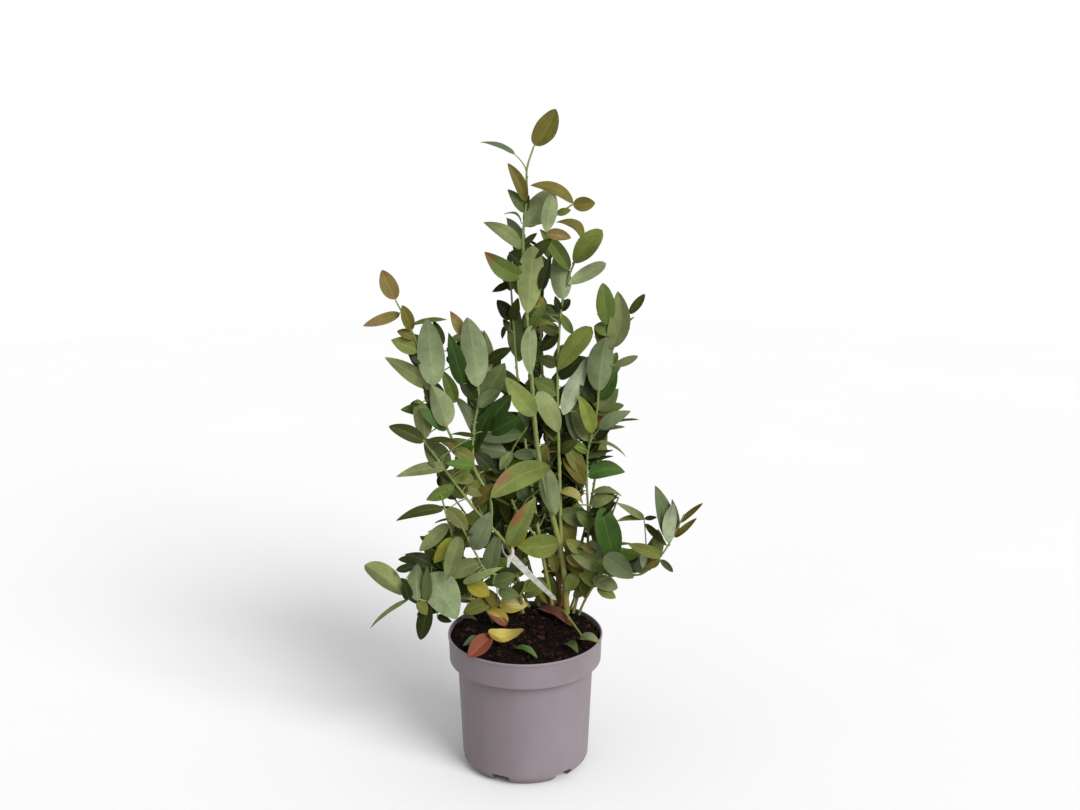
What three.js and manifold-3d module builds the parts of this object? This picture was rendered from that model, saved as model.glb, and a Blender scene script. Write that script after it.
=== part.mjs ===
// A highbush blueberry in a nursery pot, in millimetres, +Z up.
// The origin is the centre of the pot's flat underside. -Y is the front, +X the right.
//
// The pot is a thin-walled tub with a deep collar, filled with peat to the brim. The bush rises from a crown
// behind and to the right of the pot's middle: canes come straight out of the peat, boughs leave them at
// forks, and each limb ends in a mass of foliage. A looped plant label hangs on one of the canes.

import * as THREE from "three";
import { mergeVertices } from "three/addons/utils/BufferGeometryUtils.js";
import Module from "manifold-3d";

const wasm = await Module();
wasm.setup();

// ---------------------------------------------------------------- driving dimensions

const CLEARANCE = 0.35; // the gap kept between neighbours that touch

const POT = {
  height: 195,
  rimRadius: 110,
  collarHeight: 37,
  collarFootRadius: 108,
  shoulderDrop: 5, // from the collar's lower edge to the wall below it
  wallTopRadius: 96.5,
  wallFootRadius: 90.5,
  footBevel: 10, // height of the bevel round the foot
  footRadius: 83,
  wall: 2.6,
  rimBevel: [1, 2], // inwards and down
  floor: 17,
  segments: 36,
  drains: 6,
  drainFirstDeg: -22.5, // from the front, towards the right
  drainWidth: 27,
  drainReach: 20, // inwards from the foot's edge
  drainHeight: 14,
};

const PEAT = {
  crownHeight: POT.height + 3, // the level ground that the canes stand on
  crownRadius: 97,
  edgeDrop: 8, // how far the peat falls from there to the wall
};

const LIMB = {
  sides: 6,
  stepLength: 42,
  buried: 12, // how far a cane's curve starts under the ground that cuts it
  entry: 8, // how far a bough runs into its foliage
};

const MASS = {
  around: 10,
  along: 7,
  uneven: 0.17, // how far a point of the surface stands in or out, as a share of the reach
  blunt: 0.62, // under 1 fills out the ends
  spineSteps: 5,
};

const LABEL = {
  loopAt: 0.4, // share of the cane's length
  loopOuter: 8,
  loopWall: 1.4,
  width: 11,
  thickness: 1.4,
  tip: [44, 30, 230],
};

// A cane starts at its foot on the peat, a bough at a share of the length of the limb that it leaves. Each
// passes through its via points to its tip, where it stops growing. base and end are its radii at the two
// ends. From leafy, a share of its length, it carries leaves, which reach out sideways by reach and past the
// tip by over. A cane runs up through its foliage as far as bareTo; a limb without one stops where its
// foliage begins.
const LIMBS = {
  tall_cane: {
    foot: [60, 55],
    via: [
      [53, 50, 285], [20, 30, 440], [9, 10, 570], [0, -4, 715], [-1, -4, 762], [4, -3, 812], [4, -1, 845],
    ],
    tip: [13, 4, 874],
    base: 4.6, end: 1.2, leafy: 0.62, bareTo: 0.93, reach: 50, over: 44,
  },
  right_fork: {
    from: "tall_cane", at: 0.155, via: [[49, 63, 400], [46, 68, 560], [54, 70, 668]], tip: [80, 64, 744],
    base: 3.2, end: 1.2, leafy: 0.5, bareTo: 0.9, reach: 46, over: 34,
  },
  upper_bough: {
    from: "tall_cane", at: 0.85, via: [[27, -12, 778]], tip: [64, -14, 801],
    base: 1.6, end: 1.1, leafy: 0.5, reach: 30, over: 20,
  },
  brown_cane: {
    foot: [52, 80], via: [[41, 83, 320], [26, 94, 520]], tip: [20, 90, 660],
    base: 4, end: 1.2, leafy: 0.36, bareTo: 0.8, reach: 42, over: 28,
  },
  thin_cane: {
    foot: [40, 62], via: [[20, 47, 320], [-9, 88, 525]], tip: [-22, 90, 712],
    base: 2.8, end: 1.2, leafy: 0.44, bareTo: 0.85, reach: 42, over: 34,
  },
  tagged_cane: {
    foot: [-5, 58], via: [[-24, 0, 321], [-65, -34, 386]], tip: [-132, -80, 501],
    base: 3, end: 1.2, leafy: 0.7, reach: 46, over: 40,
  },
  left_bough: {
    from: "tagged_cane", at: 0.53,
    via: [[-47, -34, 405], [-68, -38, 452], [-68, -41, 500], [-60, -45, 555]], tip: [-70, -45, 615],
    base: 2.2, end: 1.2, leafy: 0.5, reach: 48, over: 50,
  },
  left_tip_bough: {
    from: "left_bough", at: 0.4, via: [[-95, -45, 490], [-123, -55, 578], [-146, -60, 644]],
    tip: [-165, -60, 682],
    base: 1.9, end: 1.1, leafy: 0.34, reach: 52, over: 46,
  },
  far_left_cane: {
    foot: [-40, 40], via: [[-81, -8, 285], [-100, -42, 360]], tip: [-111, -65, 420],
    base: 2.6, end: 1.2, leafy: 0.5, reach: 50, over: 46,
  },
  low_left_cane: {
    foot: [-46, 24], via: [[-66, 6, 236], [-99, -24, 256], [-131, -46, 260]], tip: [-169, -60, 277],
    base: 2.4, end: 1.2, leafy: 0.42, reach: 47, over: 38,
  },
  right_cane: {
    foot: [70, 56], via: [[88, 64, 269], [91, 70, 330], [89, 78, 400], [92, 80, 448]], tip: [110, 70, 482],
    base: 2.3, end: 1.2, leafy: 0.62, bareTo: 0.9, reach: 42, over: 46,
  },
  right_bough: {
    from: "right_cane", at: 0.86, via: [[102, 72, 502], [105, 67, 545]], tip: [126, 50, 632],
    base: 2.2, end: 1.1, leafy: 0.42, reach: 44, over: 42,
  },
  low_right_cane: {
    foot: [78, 50], via: [[107, 25, 263], [137, 10, 276], [164, -12, 287], [190, -31, 324]],
    tip: [217, -45, 386],
    base: 1.9, end: 1.1, leafy: 0.64, reach: 42, over: 34,
  },
  back_left_cane: {
    foot: [20, 80], via: [[-30, 130, 370]], tip: [-85, 155, 570],
    base: 3, end: 1.2, leafy: 0.4, bareTo: 0.8, reach: 48, over: 40,
  },
  back_right_cane: {
    foot: [58, 74], via: [[95, 118, 340]], tip: [125, 145, 545],
    base: 2.4, end: 1.2, leafy: 0.42, bareTo: 0.8, reach: 46, over: 40,
  },
  back_cane: {
    foot: [36, 84], via: [[20, 150, 380]], tip: [0, 185, 600],
    base: 3.2, end: 1.2, leafy: 0.4, bareTo: 0.8, reach: 46, over: 40,
  },
  low_back_left_cane: {
    foot: [5, 78], via: [[-60, 118, 285]], tip: [-125, 135, 375],
    base: 2.4, end: 1.1, leafy: 0.42, reach: 44, over: 36,
  },
  low_back_right_cane: {
    foot: [66, 68], via: [[100, 125, 262]], tip: [128, 160, 338],
    base: 1.9, end: 1.1, leafy: 0.42, reach: 44, over: 32,
  },
  mid_left_bough: {
    from: "thin_cane", at: 0.24, via: [[-14, 50, 362], [-28, 46, 420], [-17, 40, 454]], tip: [3, 30, 488],
    base: 1.9, end: 1.1, leafy: 0.4, reach: 46, over: 30,
  },
  mid_right_bough: {
    from: "right_cane", at: 0.289, via: [[108, 52, 310]], tip: [132, 30, 385],
    base: 1.9, end: 1.1, leafy: 0.42, reach: 42, over: 34,
  },
  low_right_bough: {
    from: "right_cane", at: 0.162, via: [[102, 42, 262]], tip: [132, 20, 302],
    base: 1.8, end: 1.1, leafy: 0.36, reach: 36, over: 24,
  },
  low_front_bough: {
    from: "tagged_cane", at: 0.236, via: [[-53, -20, 294], [-68, -35, 327]], tip: [-84, -60, 373],
    base: 1.8, end: 1.1, leafy: 0.45, reach: 42, over: 26,
  },
  rim_twig: {
    foot: [46, 70], via: [[57, 30, 210], [69, 0, 205]], tip: [81, -36, 202],
    base: 1.9, end: 1.2,
  },
};

// ---------------------------------------------------------------- solids

/** A closed three.js geometry as a manifold-3d solid. */
function solidOf(geometry) {
  const bare = geometry.index ? geometry.toNonIndexed() : geometry.clone();
  for (const name of Object.keys(bare.attributes)) if (name !== "position") bare.deleteAttribute(name);
  const merged = mergeVertices(bare, 1e-4);
  return new wasm.Manifold(
    new wasm.Mesh({
      numProp: 3,
      vertProperties: merged.attributes.position.array,
      triVerts: new Uint32Array(merged.index.array),
    }),
  );
}

/** A manifold-3d solid as a flat-shaded three.js geometry. */
function geometryOf(solid) {
  const mesh = solid.getMesh();
  const positions = new Float32Array(mesh.numVert * 3);
  for (let i = 0; i < mesh.numVert; i++) {
    positions.set(mesh.vertProperties.subarray(i * mesh.numProp, i * mesh.numProp + 3), i * 3);
  }
  const geometry = new THREE.BufferGeometry();
  geometry.setAttribute("position", new THREE.BufferAttribute(positions, 3));
  geometry.setIndex(new THREE.BufferAttribute(mesh.triVerts, 1));
  const flat = geometry.toNonIndexed();
  flat.computeVertexNormals();
  return flat;
}

/** The piece that keeps most of a solid that was cut apart. */
function largestPiece(solid) {
  return solid.decompose().reduce((most, piece) => (piece.volume() > most.volume() ? piece : most));
}

/** Repeatable numbers from 0 to 1, one series for each seed. */
function randomSeries(seed) {
  let state = seed >>> 0;
  return () => {
    state = (Math.imul(state, 1664525) + 1013904223) >>> 0;
    return state / 2 ** 32;
  };
}

/** A profile of [radius, height] pairs turned round the Z axis. */
function turned(profile, segments) {
  const lathe = new THREE.LatheGeometry(
    profile.map(([radius, height]) => new THREE.Vector2(radius, height)),
    segments,
  );
  return lathe.rotateX(Math.PI / 2);
}

// ---------------------------------------------------------------- the pot and its peat

const collarFoot = POT.height - POT.collarHeight;
const shoulder = collarFoot - POT.shoulderDrop;

/** Radius of the pot's outside at a height on the wall below the collar. */
function wallRadius(z) {
  const share = (z - POT.footBevel) / (shoulder - POT.footBevel);
  return POT.wallFootRadius + (POT.wallTopRadius - POT.wallFootRadius) * share;
}

/** Radius of the pot's outside at a height on the collar. */
function collarRadius(z) {
  const share = (z - collarFoot) / POT.collarHeight;
  return POT.collarFootRadius + (POT.rimRadius - POT.collarFootRadius) * share;
}

function potSolid() {
  const [bevelIn, bevelDown] = POT.rimBevel;
  const shell = solidOf(
    turned(
      [
        [0, 0],
        [POT.footRadius, 0],
        [POT.wallFootRadius, POT.footBevel],
        [POT.wallTopRadius, shoulder],
        [POT.collarFootRadius, collarFoot],
        [POT.rimRadius, POT.height - bevelDown],
        [POT.rimRadius - bevelIn, POT.height],
        [POT.rimRadius - POT.wall, POT.height],
        [POT.collarFootRadius - POT.wall, collarFoot + POT.wall],
        [POT.wallTopRadius - POT.wall, shoulder + POT.wall],
        [wallRadius(POT.floor) - POT.wall, POT.floor],
        [0, POT.floor],
      ],
      POT.segments,
    ),
  );
  const drain = solidOf(new THREE.BoxGeometry(POT.drainWidth, 2 * POT.drainReach, 2 * POT.drainHeight));
  let pot = shell;
  for (let i = 0; i < POT.drains; i++) {
    const turn = POT.drainFirstDeg + (i * 360) / POT.drains;
    pot = pot.subtract(drain.translate([0, -POT.wallFootRadius, 0]).rotate([0, 0, turn]));
  }
  return pot;
}

function peatSolid() {
  const inset = POT.wall + CLEARANCE;
  const edgeHeight = PEAT.crownHeight - PEAT.edgeDrop;
  return solidOf(
    turned(
      [
        [0, POT.floor + CLEARANCE],
        [wallRadius(POT.floor) - inset, POT.floor + CLEARANCE],
        [POT.wallTopRadius - inset, shoulder + inset],
        [POT.collarFootRadius - inset, collarFoot + inset],
        [collarRadius(edgeHeight) - inset, edgeHeight],
        [PEAT.crownRadius, PEAT.crownHeight],
        [0, PEAT.crownHeight],
      ],
      POT.segments,
    ),
  );
}

// ---------------------------------------------------------------- limbs and foliage

/** Two unit vectors square to a limb's direction: one across the view, one in depth. */
function crossAxes(tangent) {
  const across = new THREE.Vector3(0, 1, 0).cross(tangent).normalize();
  return [across, tangent.clone().cross(across)];
}

function curveThrough(points) {
  return new THREE.CatmullRomCurve3(points, false, "centripetal");
}

/** A limb's curve, from under the ground or from the limb that it leaves, to its tip. */
function limbCurve(limb) {
  const onward = [...limb.via, limb.tip].map((point) => new THREE.Vector3(...point));
  if (limb.from) return curveThrough([limbCurve(LIMBS[limb.from]).getPointAt(limb.at), ...onward]);
  const foot = new THREE.Vector3(...limb.foot, PEAT.crownHeight);
  return curveThrough([foot.clone().setZ(PEAT.crownHeight - LIMB.buried), foot, ...onward]);
}

/** The share of its length at which a limb's own solid ends. */
function bareShare(limb, curve) {
  return limb.bareTo ?? (limb.leafy === undefined ? 1 : limb.leafy + LIMB.entry / curve.getLength());
}

/** A tapering limb along its curve, grown by extra all round. */
function limbGeometry(limb, extra) {
  const curve = limbCurve(limb);
  const length = curve.getLength();
  const toShare = bareShare(limb, curve);
  const steps = Math.max(3, Math.round((length * toShare) / LIMB.stepLength));
  const geometry = new THREE.CylinderGeometry(1, 1, 1, LIMB.sides, steps);
  const position = geometry.attributes.position;
  for (let i = 0; i < position.count; i++) {
    const share = (position.getY(i) + 0.5) * toShare;
    const tangent = curve.getTangentAt(share);
    const centre = curve.getPointAt(share);
    if (position.getY(i) === 0.5) centre.addScaledVector(tangent, extra);
    const [across, deep] = crossAxes(tangent);
    const radius = limb.base + (limb.end - limb.base) * share + extra;
    centre.addScaledVector(across, position.getX(i) * radius);
    centre.addScaledVector(deep, -position.getZ(i) * radius);
    position.setXYZ(i, centre.x, centre.y, centre.z);
  }
  return geometry;
}

/** A limb's solid. A cane is cut flat where it meets the peat. */
function limbSolid(limb, extra = 0) {
  const solid = solidOf(limbGeometry(limb, extra));
  if (limb.from) return solid;
  const ground = new THREE.BoxGeometry(4 * POT.rimRadius, 4 * POT.rimRadius, PEAT.crownHeight);
  return solid.subtract(solidOf(ground.translate(0, 0, PEAT.crownHeight / 2 + CLEARANCE - extra)));
}

/** How far each point of a mass's surface stands in or out, ring by ring, as factors of its reach. */
function swells(seed) {
  const random = randomSeries(seed);
  const count = (MASS.along + 1) * MASS.around;
  return Array.from({ length: count }, () => 1 + MASS.uneven * (2 * random() - 1));
}

/** An uneven closed mass of foliage round a limb's leafy end and past its tip, grown by extra all round. */
function foliageSolid(limb, seed, extra = 0) {
  const stem = limbCurve(limb);
  const points = [];
  for (let i = 0; i <= MASS.spineSteps; i++) {
    points.push(stem.getPointAt(limb.leafy + ((1 - limb.leafy) * i) / MASS.spineSteps));
  }
  points.push(stem.getPointAt(1).addScaledVector(stem.getTangentAt(1), limb.over));
  const spine = curveThrough(points);
  const swell = swells(seed);
  const geometry = new THREE.SphereGeometry(1, MASS.around, MASS.along);
  const position = geometry.attributes.position;
  for (let i = 0; i < position.count; i++) {
    const [x, y, z] = [position.getX(i), position.getY(i), position.getZ(i)];
    const share = Math.acos(THREE.MathUtils.clamp(-y, -1, 1)) / Math.PI;
    const tangent = spine.getTangentAt(share);
    const centre = spine.getPointAt(share);
    const round = Math.hypot(x, z);
    if (round < 1e-6) centre.addScaledVector(tangent, Math.sign(y) * extra);
    else {
      const turns = Math.atan2(z, x) / (2 * Math.PI);
      const side = (Math.round(turns * MASS.around) + MASS.around) % MASS.around;
      const ring = Math.round(share * MASS.along);
      const radius = round ** MASS.blunt * limb.reach * swell[ring * MASS.around + side] + extra;
      const [across, deep] = crossAxes(tangent);
      centre.addScaledVector(across, (x / round) * radius);
      centre.addScaledVector(deep, (-z / round) * radius);
    }
    position.setXYZ(i, centre.x, centre.y, centre.z);
  }
  return solidOf(geometry);
}

// ---------------------------------------------------------------- the label

/** A looped plant label, grown by extra: a band round its cane, and a strip from the band to its tip. */
function labelSolid(cane, extra = 0) {
  const curve = limbCurve(cane);
  const caneRadius = cane.base + (cane.end - cane.base) * LABEL.loopAt;
  const at = curve.getPointAt(LABEL.loopAt);
  const [across, deep] = crossAxes(curve.getTangentAt(LABEL.loopAt));
  const hole = LABEL.loopOuter - LABEL.loopWall;
  const width = LABEL.width + 2 * extra;
  const centre = at.clone().addScaledVector(deep, -(hole - caneRadius - 2 * CLEARANCE));
  const band = new THREE.Shape().absarc(0, 0, LABEL.loopOuter + extra, 0, 2 * Math.PI);
  band.holes.push(new THREE.Path().absarc(0, 0, hole - extra, 0, 2 * Math.PI, true));
  const loop = new THREE.ExtrudeGeometry(band, { depth: width, bevelEnabled: false, curveSegments: 10 });
  loop.translate(0, 0, -width / 2);
  const loopFrame = new THREE.Matrix4().makeBasis(across, deep, across.clone().cross(deep));
  loop.applyMatrix4(loopFrame.setPosition(centre));

  const start = centre.clone().addScaledVector(deep, -(LABEL.loopOuter - LABEL.loopWall / 2));
  const tip = new THREE.Vector3(...LABEL.tip);
  const along = tip.clone().sub(start);
  const length = along.length();
  along.normalize();
  const face = new THREE.Vector3(0, -1, 0).addScaledVector(along, along.y).normalize();
  const strip = new THREE.BoxGeometry(length + extra, width, LABEL.thickness + 2 * extra);
  strip.translate((length + extra) / 2, 0, 0);
  const stripFrame = new THREE.Matrix4().makeBasis(along, face.clone().cross(along), face);
  strip.applyMatrix4(stripFrame.setPosition(start));
  return solidOf(loop).add(solidOf(strip));
}

// ---------------------------------------------------------------- assembly

const plastic = new THREE.MeshStandardMaterial({ color: 0x9a9095, roughness: 0.55, metalness: 0 });
const peat = new THREE.MeshStandardMaterial({ color: 0x2a1d17, roughness: 0.95, metalness: 0 });
const greenBark = new THREE.MeshStandardMaterial({ color: 0x8a8a45, roughness: 0.6, metalness: 0 });
const brownBark = new THREE.MeshStandardMaterial({ color: 0x6b4428, roughness: 0.75, metalness: 0 });
const leaf = new THREE.MeshStandardMaterial({ color: 0x6f8052, roughness: 0.6, metalness: 0 });
const labelWhite = new THREE.MeshStandardMaterial({ color: 0xe4e2dc, roughness: 0.5, metalness: 0 });

const bush = new THREE.Group();

function addNode(name, solid, material) {
  const mesh = new THREE.Mesh(geometryOf(solid), material);
  mesh.name = name;
  bush.add(mesh);
}

addNode("pot", potSolid(), plastic);
addNode("peat", peatSolid(), peat);
addNode("plant_label", labelSolid(LIMBS.tagged_cane), labelWhite);

// Limbs first: a bough starts at the surface of the limb it leaves.
const limbs = {};
for (const [name, limb] of Object.entries(LIMBS)) {
  let solid = limbSolid(limb);
  if (limb.from) solid = largestPiece(solid.subtract(limbs[limb.from].grown));
  limbs[name] = { solid, grown: limbSolid(limb, CLEARANCE) };
}

// Each mass is cut round every limb, the label, the pot and the masses before it.
const potRoom = turned(
  [
    [0, 0],
    [POT.rimRadius + CLEARANCE, 0],
    [POT.rimRadius + CLEARANCE, PEAT.crownHeight + CLEARANCE],
    [0, PEAT.crownHeight + CLEARANCE],
  ],
  POT.segments,
);
const kept = [
  solidOf(potRoom),
  labelSolid(LIMBS.tagged_cane, CLEARANCE),
  ...Object.values(limbs).map((limb) => limb.grown),
];
Object.entries(LIMBS).forEach(([name, limb], index) => {
  if (!limb.reach) return;
  const mass = kept.reduce((left, other) => left.subtract(other), foliageSolid(limb, index + 1));
  addNode(`${name}_foliage`, largestPiece(mass), leaf);
  kept.push(foliageSolid(limb, index + 1, CLEARANCE));
});

for (const [name, { solid }] of Object.entries(limbs)) {
  addNode(name, solid, name === "brown_cane" ? brownBark : greenBark);
}

export default bush;
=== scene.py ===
"""A blueberry bush in a nursery pot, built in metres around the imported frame.

Every limb of the frame is redrawn with bark, and every foliage solid is replaced by the leaves of its limb:
first the leaves that stand out in the photograph, each set on its limb, then leaves and side twigs dealt out
by a seeded rule, which keep out of the sky that shows and stay behind the leaves that stand out.
"""

import math
import random

import bmesh
import bpy
import numpy as np
from mathutils import Matrix, Vector, noise


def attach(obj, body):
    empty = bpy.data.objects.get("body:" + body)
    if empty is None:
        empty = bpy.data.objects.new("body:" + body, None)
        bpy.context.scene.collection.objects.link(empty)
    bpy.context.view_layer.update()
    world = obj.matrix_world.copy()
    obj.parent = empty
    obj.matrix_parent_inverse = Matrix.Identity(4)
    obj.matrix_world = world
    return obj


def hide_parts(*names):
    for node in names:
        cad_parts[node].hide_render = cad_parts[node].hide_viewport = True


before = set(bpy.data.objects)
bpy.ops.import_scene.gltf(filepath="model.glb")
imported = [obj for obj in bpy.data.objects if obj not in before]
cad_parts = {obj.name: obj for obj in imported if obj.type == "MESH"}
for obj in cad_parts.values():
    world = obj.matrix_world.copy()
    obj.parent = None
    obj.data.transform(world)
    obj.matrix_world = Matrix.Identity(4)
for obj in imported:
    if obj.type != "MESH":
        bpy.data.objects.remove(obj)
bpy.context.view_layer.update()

# ------------------------------------------------------------------------------------------- camera

FRAME_WIDTH, FRAME_HEIGHT = 1080, 810
FOCAL_PX = 1303
SENSOR = 36
CAMERA_AT = np.array((0.021, -1.72, 0.97))
CAMERA_DIP = math.radians(14.42)
SIGHT = np.array((0, math.cos(CAMERA_DIP), -math.sin(CAMERA_DIP)))
SIGHT_UP = np.array((0, math.sin(CAMERA_DIP), math.cos(CAMERA_DIP)))
SIGHT_RIGHT = np.array((1.0, 0, 0))
Y, Z = 1, 2


def to_pixels(points):
    """Where points show in the photograph, and how far they lie from the camera along its line of sight."""
    offset = np.atleast_2d(points) - CAMERA_AT
    depth = offset @ SIGHT
    across = FRAME_WIDTH / 2 + FOCAL_PX * (offset @ SIGHT_RIGHT) / depth
    down = FRAME_HEIGHT / 2 - FOCAL_PX * (offset @ SIGHT_UP) / depth
    return np.stack([across, down], 1), depth


def shown_at(px, axis, level):
    """The point that shows at a pixel of the photograph and lies at a level of one axis."""
    right = (px[0] - FRAME_WIDTH / 2) / FOCAL_PX
    up = (FRAME_HEIGHT / 2 - px[1]) / FOCAL_PX
    line = SIGHT + right * SIGHT_RIGHT + up * SIGHT_UP
    return CAMERA_AT + line * ((level - CAMERA_AT[axis]) / line[axis])


def gaps_to(px, points):
    """How far from a pixel of the photograph points show, in pixels."""
    return np.hypot(*(to_pixels(points)[0] - np.array(px)).T)


def add_object(name, data):
    thing = bpy.data.objects.new(name, data)
    bpy.context.scene.collection.objects.link(thing)
    return thing


def add_camera():
    data = bpy.data.cameras.new("camera")
    data.sensor_width = SENSOR
    data.lens = FOCAL_PX / FRAME_WIDTH * SENSOR
    data.clip_start = 0.05
    camera = add_object("camera", data)
    camera.location = CAMERA_AT
    camera.rotation_euler = (math.pi / 2 - CAMERA_DIP, 0, 0)
    bpy.context.scene.camera = camera


# ------------------------------------------------------------------------------------------- sizes

POT_HEIGHT = 0.195
RIM_RADIUS = 0.110
COLLAR_HEIGHT = 0.037
COLLAR_FOOT_RADIUS = 0.108
WALL_TOP_RADIUS = 0.0965
WALL_FOOT_RADIUS = 0.0905
FOOT_RADIUS = 0.083
FOOT_BEVEL = 0.010
WALL = 0.0026
FLOOR = 0.017
SHOULDER_DROP = 0.005
DRAINS = 6
DRAIN_FIRST = math.radians(-22.5)
DRAIN_WIDTH = 0.027
DRAIN_REACH = 0.020
DRAIN_HEIGHT = 0.014
GROUND = 0.198  # the level that the canes stand on
BURIED = 0.012
PEAT_TOP = 0.1955
PEAT_RADIUS = 0.1062
PEAT_FOOT = 0.0185
LABEL_THICKNESS = 0.0008

# The frame's limbs: x and y of the foot in mm, or the parent and the share of its length where the limb forks
# off; ten times the radius at the base and at the end in mm; the percentage of the length from which leaves
# grow, or 0 for a bare limb; and the points that it runs through to its tip, in mm.
LIMBS = {
    "tall_cane": ((60, 55), 46, 12, 62, [(53, 50, 285), (20, 30, 440), (9, 10, 570), (0, -4, 715),
        (-1, -4, 762), (4, -3, 812), (4, -1, 845), (13, 4, 874)]),
    "right_fork": (("tall_cane", 0.155), 32, 12, 50, [(49, 63, 400), (46, 68, 560), (54, 70, 668),
        (80, 64, 744)]),
    "upper_bough": (("tall_cane", 0.85), 16, 11, 50, [(27, -12, 778), (64, -14, 801)]),
    "brown_cane": ((52, 80), 40, 12, 36, [(41, 83, 320), (26, 94, 520), (20, 90, 660)]),
    "thin_cane": ((40, 62), 28, 12, 44, [(20, 47, 320), (-9, 88, 525), (-22, 90, 712)]),
    "tagged_cane": ((-5, 58), 30, 12, 70, [(-24, 0, 321), (-65, -34, 386), (-132, -80, 501)]),
    "left_bough": (("tagged_cane", 0.53), 22, 12, 50, [(-47, -34, 405), (-68, -38, 452), (-68, -41, 500),
        (-60, -45, 555), (-70, -45, 615)]),
    "left_tip_bough": (("left_bough", 0.4), 19, 11, 34, [(-95, -45, 490), (-123, -55, 578), (-146, -60, 644),
        (-165, -60, 682)]),
    "far_left_cane": ((-40, 40), 26, 12, 50, [(-81, -8, 285), (-100, -42, 360), (-111, -65, 420)]),
    "low_left_cane": ((-46, 24), 24, 12, 42, [(-66, 6, 236), (-99, -24, 256), (-131, -46, 260),
        (-169, -60, 277)]),
    "right_cane": ((70, 56), 23, 12, 62, [(88, 64, 269), (91, 70, 330), (89, 78, 400), (92, 80, 448),
        (110, 70, 482)]),
    "right_bough": (("right_cane", 0.86), 22, 11, 42, [(102, 72, 502), (105, 67, 545), (126, 50, 632)]),
    "low_right_cane": ((78, 50), 19, 11, 64, [(107, 25, 263), (137, 10, 276), (164, -12, 287),
        (190, -31, 324), (217, -45, 386)]),
    "back_left_cane": ((20, 80), 30, 12, 40, [(-30, 130, 370), (-85, 155, 570)]),
    "back_right_cane": ((58, 74), 24, 12, 42, [(95, 118, 340), (125, 145, 545)]),
    "back_cane": ((36, 84), 32, 12, 40, [(20, 150, 380), (0, 185, 600)]),
    "low_back_left_cane": ((5, 78), 24, 11, 42, [(-60, 118, 285), (-125, 135, 375)]),
    "low_back_right_cane": ((66, 68), 19, 11, 42, [(100, 125, 262), (128, 160, 338)]),
    "mid_left_bough": (("thin_cane", 0.24), 19, 11, 40, [(-14, 50, 362), (-28, 46, 420), (-17, 40, 454),
        (3, 30, 488)]),
    "mid_right_bough": (("right_cane", 0.289), 19, 11, 42, [(108, 52, 310), (132, 30, 385)]),
    "low_right_bough": (("right_cane", 0.162), 18, 11, 36, [(102, 42, 262), (132, 20, 302)]),
    "low_front_bough": (("tagged_cane", 0.236), 18, 11, 45, [(-53, -20, 294), (-68, -35, 327),
        (-84, -60, 373)]),
    "rim_twig": ((46, 70), 19, 12, 0, [(57, 30, 210), (69, 0, 205), (81, -36, 202)]),
}
BROWN_LIMBS = ("brown_cane",)


def cell(word):
    """A word of a table, as a number where it is one."""
    try:
        return float(word)
    except ValueError:
        return word


def rows_of(table):
    """The rows of a table that is written as text and parted by semicolons."""
    return [[cell(word) for word in row.split()] for row in table.split(";")]


# Leaf tones: the colour as seen in the studio's light, in 8-bit sRGB, and the tone of the leaf's other side.
# The darker tones, such as shade, dark, deep and pine, are partly the leaves' own green and partly painted
# shade.
TONES = {tone: (colour, back) for tone, *colour, back in rows_of("""
    pale 151 162 116 mid; mint 166 177 144 green; celadon 141 155 114 green; soft 139 149 95 green;
    grey 126 139 100 dark; sage 120 129 80 green; slate 99 113 74 dark; shade 89 101 57 grey;
    fresh 133 146 78 green; bright 124 138 58 mint; mid 121 132 61 pale; green 92 110 47 grey;
    emerald 66 98 38 grey; pine 45 70 20 slate; moss 109 113 52 grey; olive 110 104 44 grey;
    umber 98 90 33 slate; dark 61 70 24 slate; deep 40 49 12 slate; apple 90 118 42 grey;
    lime 106 132 42 pale; citron 158 160 54 citron; yellow 175 168 96 yellow; gold 141 133 30 gold;
    russet 140 92 56 rose; rose 152 128 100 russet; ochre 129 114 60 grey
""")}

# Autumn patches: colour, middle along the blade and across it, and half size each way.
PATCHES = {name: (place[:3], place[3:]) for name, *place in rows_of("""
    red_tip 124 76 46 .98 0 .26 1.4; rose_tip 140 104 84 .98 0 .3 1.3; red_side 160 96 62 .56 -.7 .24 .62;
    red_foot 150 104 76 .27 .62 .18 .62; pink_spots 156 126 100 .55 .1 .3 .6;
    brown_tip 84 64 42 .98 0 .3 1.2
""")}

UP, UNDER = "upper", "under"

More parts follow.
